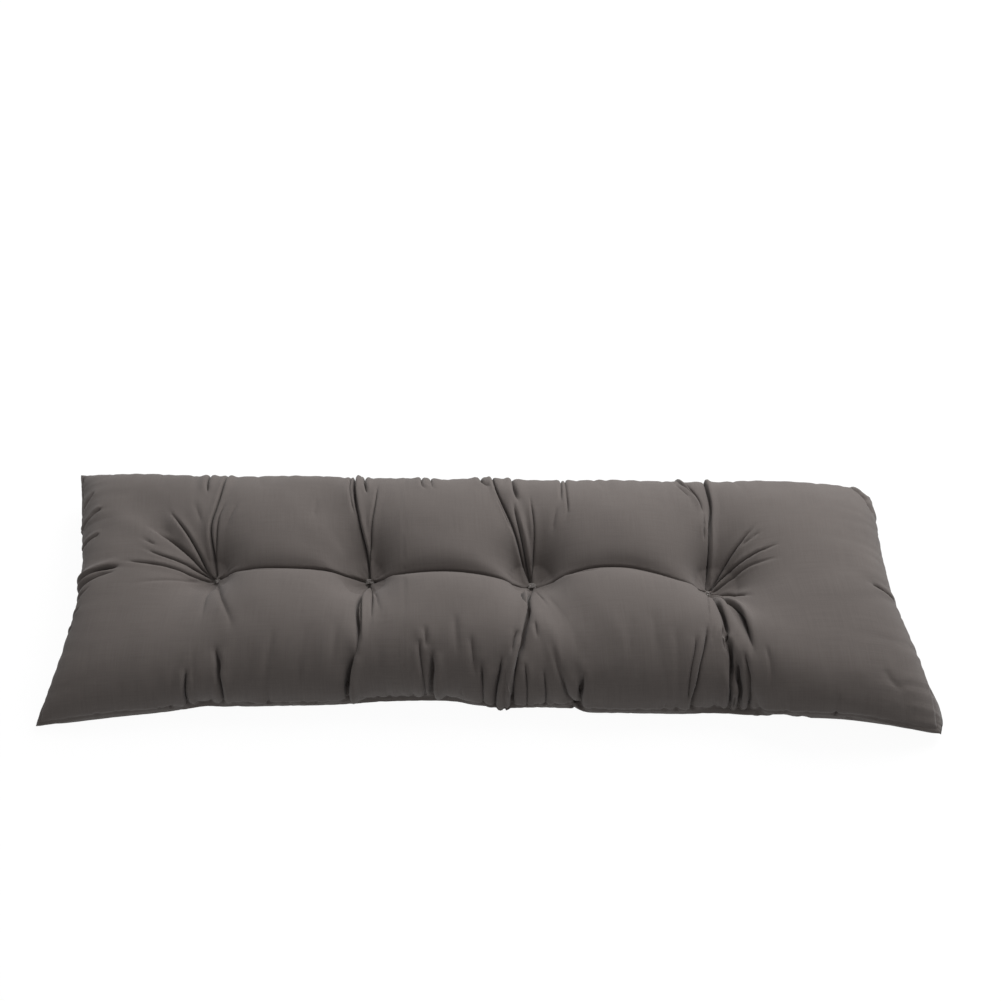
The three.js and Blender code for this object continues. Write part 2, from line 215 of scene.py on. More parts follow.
def closeness_long(x):
    """How close the threads lie along the panel, with 1 on a smooth lobe."""
    ends = hump(x, 0, ENDS_REACH) + hump(x, CUT_LENGTH, ENDS_REACH)
    ties = sum(CLOSER_AT_TIES * hump(x, column, TIES_REACH) for column in tie_columns)
    return 1 + CLOSER_AT_ENDS * ends + ties


def closeness_deep(y):
    """How close the threads lie across the panel, from the front seam to the back one."""
    middle = CLOSER_AT_MIDDLE * hump(y, CUT_DEPTH / 2, MIDDLE_REACH)
    front = CLOSER_AT_FRONT * hump(y, 0, SIDES_REACH)
    back = CLOSER_AT_BACK * hump(y, CUT_DEPTH, SIDES_REACH)
    return 1 + middle + front + back


def net_lines(length, closeness, cells):
    """Where the threads lie along one direction of the flat panel."""
    fine = np.linspace(0, length, NET_SAMPLES)
    pace = np.cumsum(closeness(fine))
    pace = (pace - pace[0]) / (pace[-1] - pace[0])
    return np.interp(np.linspace(0, 1, cells + 1), pace, fine)


first_lines = net_lines(CUT_LENGTH, closeness_long, CELLS_LONG)
tie_cells = [int(np.argmin(abs(first_lines - column))) for column in tie_columns]
finest = net_lines(CUT_LENGTH, closeness_long, CELLS_LONG * 2 ** FINER_LEVELS)
print("finest thread spacing along, mm:", np.round(np.diff(finest).min() * 1000, 2),
      "to", np.round(np.diff(finest).max() * 1000, 2))


# %% [markdown]
# ## Folds
# A fold is cloth that a tie or the seam has drawn in. Cloth simulation alone makes folds, but never
# quite these ones, so each main fold is in a table: the places that it runs through in plan, how wide
# and deep its crease is, and how hard it holds the filling down. Its places were picked in the
# photograph, turned into millimetres where the settled cloth met the line of sight, and mended.
# The filling can't push in a deep fold, so the lobes on both sides swell over it and leave a crease
# between them, as on the real cushion.

# %% Table of folds
# Plan places in millimetres from the frame's origin, x to the right and y away from the camera. A fold
# starts at its tie if it has one, follows its run, and ends at its end_tie if it has one. trough is how
# hard it holds the filling down, until the cushion is only as thick there as the number after thick
# says. deep and wide are the depth and half width of the sharp crease in its middle. lap is 1 where
# the cloth on the left of the run stands higher than the cloth on its right, and -1 the other way. A
# ridge of 0 leaves the cloth beside the crease as it is.
FOLDS = [
    # the valleys from tie to tie, and their ends
    {"tie": 1, "run": ((-330, -4), (-300, -4), (-265, -4), (-220, 0), (-190, 2)), "end_tie": 2,
     "trough": 1.0, "thick": 72, "deep": 7, "wide": 1.7, "ridge": 0},
    {"tie": 2, "run": ((-115, -7), (-45, -7), (0, -10), (30, -12)), "end_tie": 3, "trough": 1.0,
     "thick": 72, "deep": 7, "wide": 1.7, "ridge": 0},
    {"tie": 3, "run": ((100, -7), (130, -3), (176, 2), (205, 2), (225, -4), (250, -12), (275, -17),
                       (295, -19)),
     "end_tie": 4, "trough": 1.0, "thick": 76, "deep": 6, "wide": 1.8, "ridge": 0},
    {"tie": 1, "run": ((-404, -1), (-440, 1), (-478, 3), (-512, 4)), "trough": 0.7, "thick": 76,
     "deep": 4, "wide": 2.2},
    {"run": ((-340, -8), (-310, -12), (-270, -14)), "deep": 1.6, "wide": 1.6},
    {"run": ((105, -6), (142, -8), (176, -8)), "deep": 1.6, "wide": 1.6},
    {"run": ((-562, -20), (-545, -14), (-533, -10), (-518, -6), (-504, -6)), "trough": 0.8, "thick": 66,
     "deep": 8, "wide": 3.2, "lap": 1},
    {"run": ((-560, -34), (-546, -28), (-531, -20), (-508, -14)), "deep": 6, "wide": 2.6, "lap": 1},
    # short folds off the left seam
    {"run": ((-595, 130), (-588, 142), (-580, 155)), "deep": 2.2, "wide": 2.4},
    {"run": ((-586, 92), (-575, 103), (-560, 114)), "deep": 2.6, "wide": 2.6, "lap": 1},
    {"run": ((-579, 48), (-568, 55), (-552, 62)), "deep": 2.2, "wide": 2.4, "lap": 1},
    {"run": ((-562, -62), (-554, -50), (-540, -38)), "deep": 2.4, "wide": 2.2, "lap": 1},
    {"run": ((-572, -100), (-562, -88), (-552, -75)), "deep": 2.2, "wide": 2.2, "lap": 1},
    {"run": ((-576, -132), (-566, -117), (-556, -104)), "deep": 2.0, "wide": 2.0, "lap": 1},
    {"tie": 1, "run": ((-396, -5), (-419, -20), (-448, -30), (-472, -38), (-496, -44)), "deep": 1.2,
     "wide": 3.0},
    {"run": ((534, -31), (549, -34), (566, -40)), "trough": 0.6, "thick": 74, "deep": 3, "wide": 2.5},
    # from the first tie to the back
    {"tie": 1, "run": ((-386, 10), (-402, 33), (-421, 60), (-440, 84), (-461, 109)), "trough": 0.8,
     "thick": 92, "deep": 4.5, "wide": 1.8},
    {"tie": 1, "run": ((-396, 14), (-418, 32), (-442, 50), (-464, 62), (-486, 78)), "trough": 0.8,
     "thick": 88, "deep": 3.5, "wide": 2.6},
    {"tie": 1, "run": ((-386, 5), (-416, 14), (-447, 18), (-466, 23), (-487, 34)), "trough": 0.6,
     "thick": 84, "deep": 3.5, "wide": 2.0},
    {"run": ((-461, 36), (-474, 42), (-487, 51)), "deep": 1.5, "wide": 2.5},
    {"tie": 1, "run": ((-379, 25), (-387, 54), (-391, 73), (-387, 96), (-384, 130), (-384, 160),
                       (-384, 206)), "trough": 1.0, "thick": 86, "deep": 5, "wide": 2.0},
    {"tie": 1, "run": ((-376, 25), (-379, 55), (-380, 87), (-374, 112), (-372, 125)), "deep": 3,
     "wide": 1.5},
    {"run": ((-368, 62), (-361, 88), (-353, 118)), "deep": 1.2, "wide": 3.0},
    {"run": ((-402, 74), (-413, 101), (-423, 123)), "deep": 1.2, "wide": 3.5},
    {"run": ((-404, 135), (-409, 165), (-412, 206)), "deep": 4, "wide": 2.6},
    # from the second tie to the back
    {"tie": 2, "run": ((-161, 24), (-166, 45), (-175, 69), (-181, 98), (-188, 130), (-192, 160),
                       (-194, 206)), "trough": 0.9, "thick": 88, "deep": 6, "wide": 2.0, "lap": -1},
    {"run": ((-184, 86), (-191, 115), (-197, 148), (-200, 190)), "deep": 2.5, "wide": 1.4},
    {"run": ((-170, 128), (-177, 163), (-180, 206)), "trough": 0.3, "thick": 90, "deep": 4.5, "wide": 2.0},
    {"tie": 2, "run": ((-158, 35), (-159, 73), (-156, 110), (-156, 140), (-158, 170)), "trough": 0.3,
     "thick": 95, "deep": 3.2, "wide": 1.5},
    {"run": ((-242, 75), (-242, 130)), "deep": 0.9, "wide": 2.5},
    {"run": ((-96, 206), (-92, 150), (-80, 130)), "deep": 3, "wide": 2.2},
    {"run": ((-84, 206), (-77, 148), (-70, 130)), "deep": 2.5, "wide": 2.0},
    # from the third tie to the back
    {"run": ((-10, 206), (-4, 165), (9, 148)), "trough": 0.4, "thick": 88, "deep": 5, "wide": 3.6},
    {"tie": 3, "run": ((57, 28), (47, 58), (37, 86), (26, 117), (15, 149), (8, 206)), "trough": 0.6,
     "thick": 90, "deep": 4.5, "wide": 2.0, "lap": 1},
    {"run": ((42, 60), (31, 88), (20, 118), (12, 140)), "deep": 2, "wide": 1.2},
    {"run": ((50, 116), (43, 150), (38, 206)), "trough": 0.5, "thick": 88, "deep": 5, "wide": 2.8},
    {"tie": 3, "run": ((66, 16), (59, 43), (50, 77), (43, 110), (41, 128)), "trough": 0.8, "thick": 84,
     "deep": 6, "wide": 2.2, "lap": -1},
    {"tie": 3, "run": ((71, 24), (73, 56), (72, 80), (68, 111), (64, 140)), "deep": 3, "wide": 1.4},
    {"run": ((98, 58), (101, 81), (105, 108)), "deep": 1.5, "wide": 3.0},
    {"run": ((111, 108), (112, 162), (111, 206)), "trough": 0.3, "thick": 95, "deep": 3, "wide": 2.2},
    {"run": ((116, 72), (121, 95), (119, 130), (118, 167), (118, 206)), "deep": 2.6, "wide": 1.8},
    # from the fourth tie to the back
    {"run": ((316, 96), (314, 118), (308, 138), (300, 158), (293, 178), (288, 206)), "trough": 0.7,
     "thick": 82, "deep": 6, "wide": 2.2, "lap": 1},
    {"run": ((306, 128), (297, 150), (287, 170), (280, 206)), "deep": 2.5, "wide": 1.2},
    {"run": ((298, 130), (288, 150), (277, 172)), "deep": 1.5, "wide": 1.2},
    {"tie": 4, "run": ((317, 15), (320, 40), (322, 76), (325, 94), (328, 119), (326, 144), (324, 164),
                       (324, 206)), "trough": 0.9, "thick": 84, "deep": 6, "wide": 2.0, "lap": -1},
    {"run": ((313, 52), (315, 80), (317, 111)), "deep": 2.5, "wide": 1.4},
    {"tie": 4, "run": ((324, 0), (339, 22), (359, 45), (374, 62), (394, 82)), "trough": 0.6, "thick": 90,
     "deep": 3.5, "wide": 2.2},
    {"run": ((361, 42), (381, 56), (400, 66)), "deep": 1.2, "wide": 2.5},
    {"tie": 4, "run": ((328, 2), (344, 16), (363, 22), (384, 29), (402, 33), (425, 39)), "trough": 0.3,
     "thick": 92, "deep": 3, "wide": 1.6},
    {"tie": 4, "run": ((344, 4), (371, 12), (395, 12), (423, 13)), "deep": 1.8, "wide": 2.0},
    {"tie": 4, "run": ((343, -19), (361, -36), (376, -50)), "deep": 2.5, "wide": 2.5},
    # from the first tie to the front
    {"tie": 1, "run": ((-369, -19), (-354, -67), (-335, -108), (-322, -145)), "deep": 1.8, "wide": 4.0},
    {"tie": 1, "run": ((-379, -47), (-376, -88), (-375, -112)), "deep": 1.6, "wide": 4.0},
    {"run": ((-351, -146), (-344, -166), (-345, -178), (-340, -190), (-338, -214)), "trough": 0.8,
     "thick": 50, "deep": 7, "wide": 3.2},
    {"run": ((-386, -174), (-388, -190), (-388, -214)), "trough": 0.6, "thick": 50, "deep": 6, "wide": 3.0},
    # from the second tie to the front
    {"tie": 2, "run": ((-162, -19), (-165, -46), (-167, -70), (-165, -98), (-161, -120), (-160, -140),
                       (-164, -160), (-168, -174)), "trough": 0.8, "thick": 84, "deep": 8, "wide": 2.4,
     "lap": 1},
    {"tie": 2, "run": ((-163, -49), (-161, -81), (-157, -116), (-156, -152)), "deep": 5, "wide": 1.8},
    {"run": ((-165, -150), (-174, -180), (-175, -194), (-173, -214)), "trough": 1.0, "thick": 36,
     "deep": 11, "wide": 3.6, "lap": 1},
    {"run": ((-190, -104), (-192, -150), (-196, -186)), "deep": 1.2, "wide": 8.0},
    {"run": ((-232, -110), (-236, -150), (-238, -190)), "deep": 1.0, "wide": 9.0},
    {"run": ((-274, -120), (-280, -192)), "deep": 1.0, "wide": 7.0},
    {"tie": 2, "run": ((-153, -23), (-148, -65), (-146, -89), (-145, -120)), "deep": 3, "wide": 1.5},
    {"tie": 2, "run": ((-150, -25), (-138, -78), (-128, -104)), "deep": 1.2, "wide": 2.5},
    # the front of the second lobe
    {"run": ((-80, -136), (-77, -156), (-70, -188)), "deep": 4, "wide": 3.4},
    {"run": ((-73, -118), (-68, -152)), "deep": 2.4, "wide": 3.4},
    {"run": ((-62, -150), (-60, -168), (-62, -182), (-68, -214)), "trough": 0.8, "thick": 46, "deep": 8,
     "wide": 3.6, "lap": 1},
    {"run": ((-72, -186), (-86, -208)), "deep": 4, "wide": 2.0},
    {"run": ((-46, -186), (-56, -206)), "deep": 3.5, "wide": 2.2},
    {"run": ((-24, -180), (-14, -212)), "deep": 4.5, "wide": 2.4},
    {"run": ((-34, -96), (-26, -168)), "deep": 1.4, "wide": 6.0},
    {"run": ((-11, -130), (-3, -184)), "deep": 2.2, "wide": 5.0},
    {"run": ((5, -160), (6, -189), (6, -214)), "trough": 0.5, "thick": 48, "deep": 6, "wide": 3.6},
    {"run": ((14, -190), (15, -214)), "deep": 3.5, "wide": 2.4},
    {"run": ((31, -154), (29, -172), (24, -183), (22, -192), (18, -214)), "trough": 0.7, "thick": 48,
     "deep": 8, "wide": 3.0, "lap": 1},
    # from the third tie to the front
    {"tie": 3, "run": ((62, -18), (56, -40), (57, -62), (63, -86)), "deep": 5, "wide": 1.8},
    {"tie": 3, "run": ((66, -44), (66, -71), (64, -94), (61, -110), (58, -124), (58, -144), (54, -154),
                       (50, -165), (48, -176), (45, -188)), "trough": 0.8, "thick": 76,
     "deep": 10, "wide": 3.0, "lap": -1},
    {"run": ((50, -120), (46, -140), (44, -158)), "deep": 3, "wide": 2.6},
    {"tie": 3, "run": ((84, -46), (91, -69), (94, -84)), "deep": 1.2, "wide": 1.4},
    {"run": ((74, -102), (78, -132)), "deep": 2.0, "wide": 2.4},
    {"run": ((61, -160), (65, -184), (66, -208)), "deep": 4, "wide": 2.4},
    {"run": ((86, -166), (91, -188), (87, -214)), "trough": 0.3, "thick": 56, "deep": 4, "wide": 3.6},
    {"run": ((139, -172), (134, -192), (134, -214)), "trough": 1.0, "thick": 34, "deep": 9, "wide": 4.0},
    # from the fourth tie to the front
    {"tie": 4, "run": ((323, -22), (330, -37), (345, -66), (353, -87), (357, -107), (360, -127),
                       (364, -160)), "trough": 0.9, "thick": 80, "deep": 8, "wide": 2.4, "lap": 1},
    {"tie": 4, "run": ((320, -34), (324, -67), (329, -89), (331, -107), (330, -126), (328, -138),
                       (329, -156)), "trough": 0.7, "thick": 80, "deep": 9, "wide": 2.4, "lap": 1},
    {"tie": 4, "run": ((312, -44), (307, -96), (304, -124)), "deep": 1.8, "wide": 1.2},
    {"run": ((325, -108), (324, -130), (325, -146)), "deep": 3, "wide": 1.4},
    {"run": ((333, -126), (335, -149), (334, -165), (334, -180), (333, -214)), "trough": 0.8, "thick": 50,
     "deep": 10, "wide": 2.8},
    {"run": ((341, -150), (344, -171), (347, -181), (347, -195), (347, -214)), "trough": 0.4, "thick": 46,
     "deep": 9, "wide": 2.8},
    {"run": ((340, -184), (340, -214)), "deep": 6, "wide": 2.4},
    {"run": ((350, -148), (356, -174), (360, -192)), "deep": 4, "wide": 2.4},
    {"run": ((378, -140), (383, -165), (385, -190)), "deep": 1.6, "wide": 3.0},
    {"run": ((196, -90), (204, -186)), "deep": 0.9, "wide": 9.0},
    {"run": ((230, -84), (238, -176)), "deep": 1.0, "wide": 10.0},
    {"run": ((262, -110), (264, -196)), "deep": 1.0, "wide": 7.0},
    {"run": ((305, -108), (302, -128), (299, -145), (292, -167), (289, -183), (282, -195), (276, -212)),
     "trough": 0.3, "thick": 72, "deep": 4.5, "wide": 2.4, "lap": -1},
    {"run": ((289, -126), (286, -150), (281, -170), (279, -188)), "deep": 3, "wide": 2.4},
    {"run": ((314, -112), (307, -138)), "deep": 1.2, "wide": 1.6},
    # the corners at the right, and the line where the cloth lay folded before it was filled
    {"run": ((544, 200), (552, 184), (560, 168), (566, 140)), "deep": 4, "wide": 2.4, "lap": 1},
    {"run": ((530, -170), (548, -190)), "deep": 1.2, "wide": 8.0},
    {"run": ((470, -208), (467, -222)), "deep": 1.2, "wide": 3.0},
    {"run": ((-118, 190), (-116, 124), (-110, 18), (-104, -59), (-98, -157), (-97, -205)), "deep": 0.5,
     "wide": 1.1},
]
print(len(FOLDS), "folds,", sum("trough" in fold for fold in FOLDS), "of them with a trough")


# %% The line and the strength of a fold
# A fold's first place in front of a tie lies past FRONT_OF_TIE, and a place past SEAM_NEAR across the
# cushion or END_NEAR along it is at the seam; all three are in millimetres.
FRONT_OF_TIE = -15
SEAM_NEAR = 186
END_NEAR = 545
FIRM_BEHIND_TIE = 0.6
FIRM_BEFORE_TIE = 0.1
TIE_EASE = 0.18
FREE_START_EASE = 0.3
FADES_FROM = 0.55
FADES_OVER = 0.45
FOLD_STRETCHES = 24
FOLD_ROUNDING_PASSES = 3


def at_seam(place):
    """Whether a place of a run lies at the seam."""
    return abs(place[1]) > SEAM_NEAR or abs(place[0]) > END_NEAR


def tapered(fold, t):
    """A fold is firm at the seam, eases in from a tie and fades towards a free end."""
    run = fold["run"]
    rising = np.ones_like(t) if at_seam(run[0]) else smooth(t / FREE_START_EASE)
    fading = np.ones_like(t) if at_seam(run[-1]) else 1 - smooth((t - FADES_FROM) / FADES_OVER)
    if "tie" in fold:
        firm = FIRM_BEFORE_TIE if run[0][1] < FRONT_OF_TIE else FIRM_BEHIND_TIE
        rising = firm + (1 - firm) * smooth(t / TIE_EASE)
    if "end_tie" in fold:
        fading = FIRM_BEHIND_TIE + (1 - FIRM_BEHIND_TIE) * smooth((1 - t) / TIE_EASE)
    return rising * fading


def fold_line(fold):
    """The points of a fold in plan, metres, a little rounded at the corners of its run."""
    places = [np.array(place) * MM for place in fold["run"]]
    if "tie" in fold:
        places.insert(0, tie_places[fold["tie"] - 1])
    if "end_tie" in fold:
        places.append(tie_places[fold["end_tie"] - 1])
    places = np.array(places)
    travelled = travelled_along(places)
    even = np.linspace(0, travelled[-1], FOLD_STRETCHES + 1)
    return rounded(placed_at(even, travelled, places), FOLD_ROUNDING_PASSES)


FOLD_LINES = [fold_line(fold) for fold in FOLDS]
fold_lengths = [travelled_along(line)[-1] for line in FOLD_LINES]
print("folds are", np.round(min(fold_lengths), 3), "to", np.round(max(fold_lengths), 3), "m long")


# %% Distance from a fold, and the troughs
# No trough reaches further to each side than this many of its half widths.
TROUGH_SPAN = 3


def along_line(places, line):
    """For each place: how far it is from a line, the way to it from the line, where along the line
    the nearest point is, from 0 to 1, and how far past the line's ends the place lies."""
    nearest = np.full(len(places), np.inf)
    off = np.zeros((len(places), 2))
    where = np.zeros(len(places))
    beyond = np.zeros(len(places))
    for k in range(len(line) - 1):
        along = line[k + 1] - line[k]
        length = np.linalg.norm(along)
        raw = (places - line[k]) @ along / length ** 2
        t = np.clip(raw, 0, 1)
        way = places - line[k] - t[:, None] * along
        away = np.linalg.norm(way, axis=1)
        closer = away < nearest
        nearest[closer] = away[closer]
        off[closer] = way[closer]
        where[closer] = (k + t[closer]) / (len(line) - 1)
        beyond[closer] = (np.abs(raw - t) * length)[closer]
    return nearest, off, where, beyond


def beside(places, line, reach):
    """Which places lie in the box round a line, with a margin."""
    low = line.min(0) - reach
    high = line.max(0) + reach
    return np.nonzero(((places > low) & (places < high)).all(-1))


def troughs(plan, trough_wide):
    """At places of the plan: how hard folds hold the filling down, and how thick they leave it."""
    pull = np.zeros(plan.shape[:-1], np.float32)
    thick = np.zeros(plan.shape[:-1], np.float32)
    for fold, line in zip(FOLDS, FOLD_LINES):
        if "trough" not in fold:
            continue
        near = beside(plan, line, TROUGH_SPAN * trough_wide)
        if len(near[0]) == 0:
            continue
        away, _, where, _ = along_line(plan[near].astype(float), line)
        here = fold["trough"] * tapered(fold, where) * np.exp(-(away / trough_wide) ** 2)
        stronger = here > pull[near]
        thick[near] = np.where(stronger, fold["thick"] * MM, thick[near])
        pull[near] = np.maximum(pull[near], here)
    return pull, thick


# %% [markdown]
# ## The cloth
# Blender's own cloth would do for a soft pad, but this cover has a seam shared by two panels, ties
# that go through both, and folds at set places, so a small solver is clearer: each thread between two
# neighbouring points is pulled back to its length, again and again, while the filling pushes outwards.
# The points are two arrays, top and under panel, with the same shape, and the seam is kept the same
# in both. Threads are handled in batches that share no point, so that numpy moves them all at once.

# %% One level of the net
TOP = 0
UNDER = 1
SEAM_GATHER = 0.015
GATHER_REACH = 0.015
UNDER_EASE = 1.028
THREAD_PULL = 1.0
THREAD_PUSH = 0.6
SLANT_PULL = 0.5
SLANT_PUSH = 0.2


class Net:
    """Spacing of one level of the net, with the batches of threads that join its points."""

    def __init__(self, level):
        self.long = CELLS_LONG * 2 ** level
        self.deep = CELLS_DEEP * 2 ** level
        self.x = net_lines(CUT_LENGTH, closeness_long, self.long).astype(np.float32)
        self.y = net_lines(CUT_DEPTH, closeness_deep, self.deep).astype(np.float32)
        self.dx = np.diff(self.x)
        self.dy = np.diff(self.y)
        self.ties = [(cell * 2 ** level, self.deep // 2) for cell in tie_cells]
        self.threads = list(self.batches())
        self.seam = {
            "front": ((slice(None), 0), side_line("front", self.x / CUT_LENGTH)),
            "back": ((slice(None), -1), side_line("back", self.x / CUT_LENGTH)),
            "left": ((0, slice(None)), side_line("left", self.y / CUT_DEPTH)),
            "right": ((-1, slice(None)), side_line("right", self.y / CUT_DEPTH)),
        }

    def gathered(self, x, y):
        """How much shorter the sewing thread makes the cloth at a flat place beside the seam."""
        from_seam = np.minimum(np.minimum(x, CUT_LENGTH - x)[:, None], np.minimum(y, CUT_DEPTH - y)[None])
        return 1 - SEAM_GATHER * np.exp(-from_seam / GATHER_REACH)

    def under_share(self, x):
        """How much of its cut depth the under panel has between the seams; the rest is tucked in."""
        front, back = (side_line(name, x / CUT_LENGTH) for name in ("front", "back"))
        return np.minimum(1, np.linalg.norm(back - front, axis=1) * UNDER_EASE / CUT_DEPTH)

    def batches(self):
        """Pairs of slices of points, with the length of each thread and how it pulls and pushes."""
        every = slice(None)
        middle_x = (self.x[1:] + self.x[:-1]) / 2
        middle_y = (self.y[1:] + self.y[:-1]) / 2
        along = self.dx[:, None] * self.gathered(middle_x, self.y)
        across = self.dy[None] * self.gathered(self.x, middle_y)
        deep_lengths = np.stack([across, across * self.under_share(self.x)[:, None]])
        slant = np.hypot(self.dx[:, None], self.dy[None]) * self.gathered(middle_x, middle_y)
        for k in (0, 1):
            i = k + (self.long - k) // 2 * 2
            j = k + (self.deep - k) // 2 * 2
            first, second = slice(k, i, 2), slice(k + 1, i + 1, 2)
            yield (every, first), (every, second), along[first], THREAD_PULL, THREAD_PUSH
            low, high = slice(k, j, 2), slice(k + 1, j + 1, 2)
            across_pair = (every, every, low), (every, every, high)
            yield *across_pair, deep_lengths[:, :, low], THREAD_PULL, THREAD_PUSH
            left, right = slice(0, self.deep), slice(1, self.deep + 1)
            yield (every, first, left), (every, second, right), slant[first], SLANT_PULL, SLANT_PUSH
            yield (every, first, right), (every, second, left), slant[first], SLANT_PULL, SLANT_PUSH


# %% Threads, stiffness and the seam
def pull_threads(points, first, second, length, pull, push):
    """Moves both ends of each thread so that it nears its length; cloth pulls more than it pushes."""
    span = points[second] - points[first]
    now = np.sqrt(np.einsum("...k,...k->...", span, span))
    change = now - length
    share = np.where(change > 0, 0.5 * pull, 0.5 * push).astype(np.float32) * change / np.maximum(now, 1e-7)
    span *= share[..., None]
    points[first] += span
    points[second] -= span


def straighten(points, amount):
    """Stiffness: draws each point towards the middle of its neighbours on the same thread."""
    for axis in (1, 2):
        row = np.moveaxis(points, axis, 0)
        lag = amount * (0.5 * (row[:-2] + row[2:]) - row[1:-1])
        row[1:-1] += lag * 0.5
        row[:-2] -= lag * 0.25
        row[2:] -= lag * 0.25


EDGES = ((slice(None), 0), (slice(None), -1), (0, slice(None)), (-1, slice(None)))


def sew(points):
    """The two panels share the seam."""
    for edge in EDGES:
        middle = 0.5 * (points[(TOP,) + edge] + points[(UNDER,) + edge])
        points[(TOP,) + edge] = middle
        points[(UNDER,) + edge] = middle


# %% The way out of the cloth
def outward(points, net):
    """The way out of the cloth at each point, about one unit long where it is flat."""
    long_way = np.empty_like(points)
    deep_way = np.empty_like(points)
    long_way[:, 1:-1] = (points[:, 2:] - points[:, :-2]) / (net.x[2:] - net.x[:-2])[:, None, None]
    long_way[:, 0] = (points[:, 1] - points[:, 0]) / net.dx[0]
    long_way[:, -1] = (points[:, -1] - points[:, -2]) / net.dx[-1]
    deep_way[:, :, 1:-1] = (points[:, :, 2:] - points[:, :, :-2]) / (net.y[2:] - net.y[:-2])[:, None]
    deep_way[:, :, 0] = (points[:, :, 1] - points[:, :, 0]) / net.dy[0]
    deep_way[:, :, -1] = (points[:, :, -1] - points[:, :, -2]) / net.dy[-1]
    out = np.cross(long_way, deep_way)
    out[UNDER] *= -1
    return out


# %% [markdown]
# The ties hold the panels close together and press a small pit into each. The filling is loose fibre,
# not air: it pushes hard where the panels are close and hardly at all once they are as far apart as
# the cushion is thick, which is why the lobes are soft and not drum tight.

# %% Ties, filling and floor
DIMPLE_FLOOR = 0.005
DIMPLE_SLOPE = 0.58
DIMPLE_REACH = 0.032
# How thick the filling makes the cushion, along it from the left end to the right, in millimetres.
FILLING = {
    "x": (-620, -520, -440, -340, -250, 400, 520, 620),
    "thick": (104, 100, 105, 119, 130, 134, 128, 116),
}
FILL_SOFTNESS = 0.060
LEAST_FILL_PUSH = -0.5
FOLD_EASE = 0.020
LEAST_THICKNESS = 0.0012


def dimples(net):
    """The points beside each tie, with how far above the tie the cloth may be there."""
    found = []
    for i, j in net.ties:
        reach = np.hypot(net.x[:, None] - net.x[i], net.y[None] - net.y[j])
        near = np.nonzero(reach < DIMPLE_REACH)
        found.append((near, (np.maximum(reach[near] - DIMPLE_FLOOR, 0) * DIMPLE_SLOPE).astype(np.float32)))
    return found


def draw_ties_in(points, net, pits):
    """Pins both panels at each tie and keeps the cloth round it inside the dimple."""
    for (i, j), (near, lip), (x, y), top, under in zip(net.ties, pits, tie_places, tie_tops, tie_unders):
        points[TOP][near + (2,)] = np.minimum(points[TOP][near + (2,)], top + lip)
        points[UNDER][near + (2,)] = np.maximum(points[UNDER][near + (2,)], under - lip)
        points[TOP, i, j] = (x, y, top)
        points[UNDER, i, j] = (x, y, under)


# %% Letting the cover come to rest
PASSES = 8
DAMPING = 0.9
SEAM_HOLD = 0.30
TROUGH_REFRESH = 20


def settle(points, net, steps, push, stiffness, draw, trough_wide):
    """Lets the filled cover come to rest at one level of the net."""
    before = points.copy()
    pits = dimples(net)
    full = np.interp((net.x - CUT_LENGTH / 2) / MM, FILLING["x"], FILLING["thick"])[:, None] * MM
    full = full.astype(np.float32)
    for step in range(steps):
        if step % TROUGH_REFRESH == 0:
            pull, thick = troughs(points[TOP, ..., :2], trough_wide)
        apart = points[TOP, ..., 2] - points[UNDER, ..., 2]
        fill = np.clip((full - apart) / FILL_SOFTNESS, LEAST_FILL_PUSH, 1.0)
        fold = draw * pull * np.clip((apart - thick) / FOLD_EASE, 0, 1)
        out = outward(points, net)
        out[TOP] *= (push * (fill - fold))[..., None]
        out[UNDER] *= (push * fill)[..., None]
        speed = (points - before) * DAMPING
        before = points.copy()
        points += speed + out
        for _ in range(PASSES):
            for batch in net.threads:
                pull_threads(points, *batch)
            straighten(points, stiffness)
            sew(points)
            draw_ties_in(points, net, pits)
            gap = points[TOP, 1:-1, 1:-1, 2] - points[UNDER, 1:-1, 1:-1, 2]
            short = np.maximum(LEAST_THICKNESS - gap, 0) * 0.5
            points[TOP, 1:-1, 1:-1, 2] += short
            points[UNDER, 1:-1, 1:-1, 2] -= short
            np.maximum(points[..., 2], 0, out=points[..., 2])
        for edge, line in net.seam.values():
            for panel in (TOP, UNDER):
                missing = line - points[(panel,) + edge]
                points[(panel,) + edge] += (SEAM_HOLD * missing).astype(np.float32)
    return points


# %% [markdown]
# The first guess is the surface that the four sides of the seam span, with the two panels puffed
# apart everywhere but at the ties. Going to a finer net puts a new point in the middle of each
# thread, on a cubic curve through its neighbours, so that round lobes stay round.

# %% First guess and finer nets
START_LOFT = 0.050
UNDER_LOFT_SHARE = 0.7
TIE_LOFT_CUT = 0.95
TIE_LOFT_REACH = 0.07
# The larger the power, the flatter the guess in the middle and the steeper at the seam.
LOFT_POWER_LONG = 6
LOFT_POWER_DEEP = 3


def spanned(net):
    """The surface halfway between the panels that the four sides of the seam span."""
    u = (net.x / CUT_LENGTH)[:, None, None]
    v = (net.y / CUT_DEPTH)[None, :, None]
    front, back, left, right = (net.seam[name][1] for name in ("front", "back", "left", "right"))
    corners = ((1 - u) * (1 - v) * front[0] + u * (1 - v) * front[-1]
               + (1 - u) * v * back[0] + u * v * back[-1])
    return ((1 - v) * front[:, None] + v * back[:, None] + (1 - u) * left[None] + u * right[None] - corners)


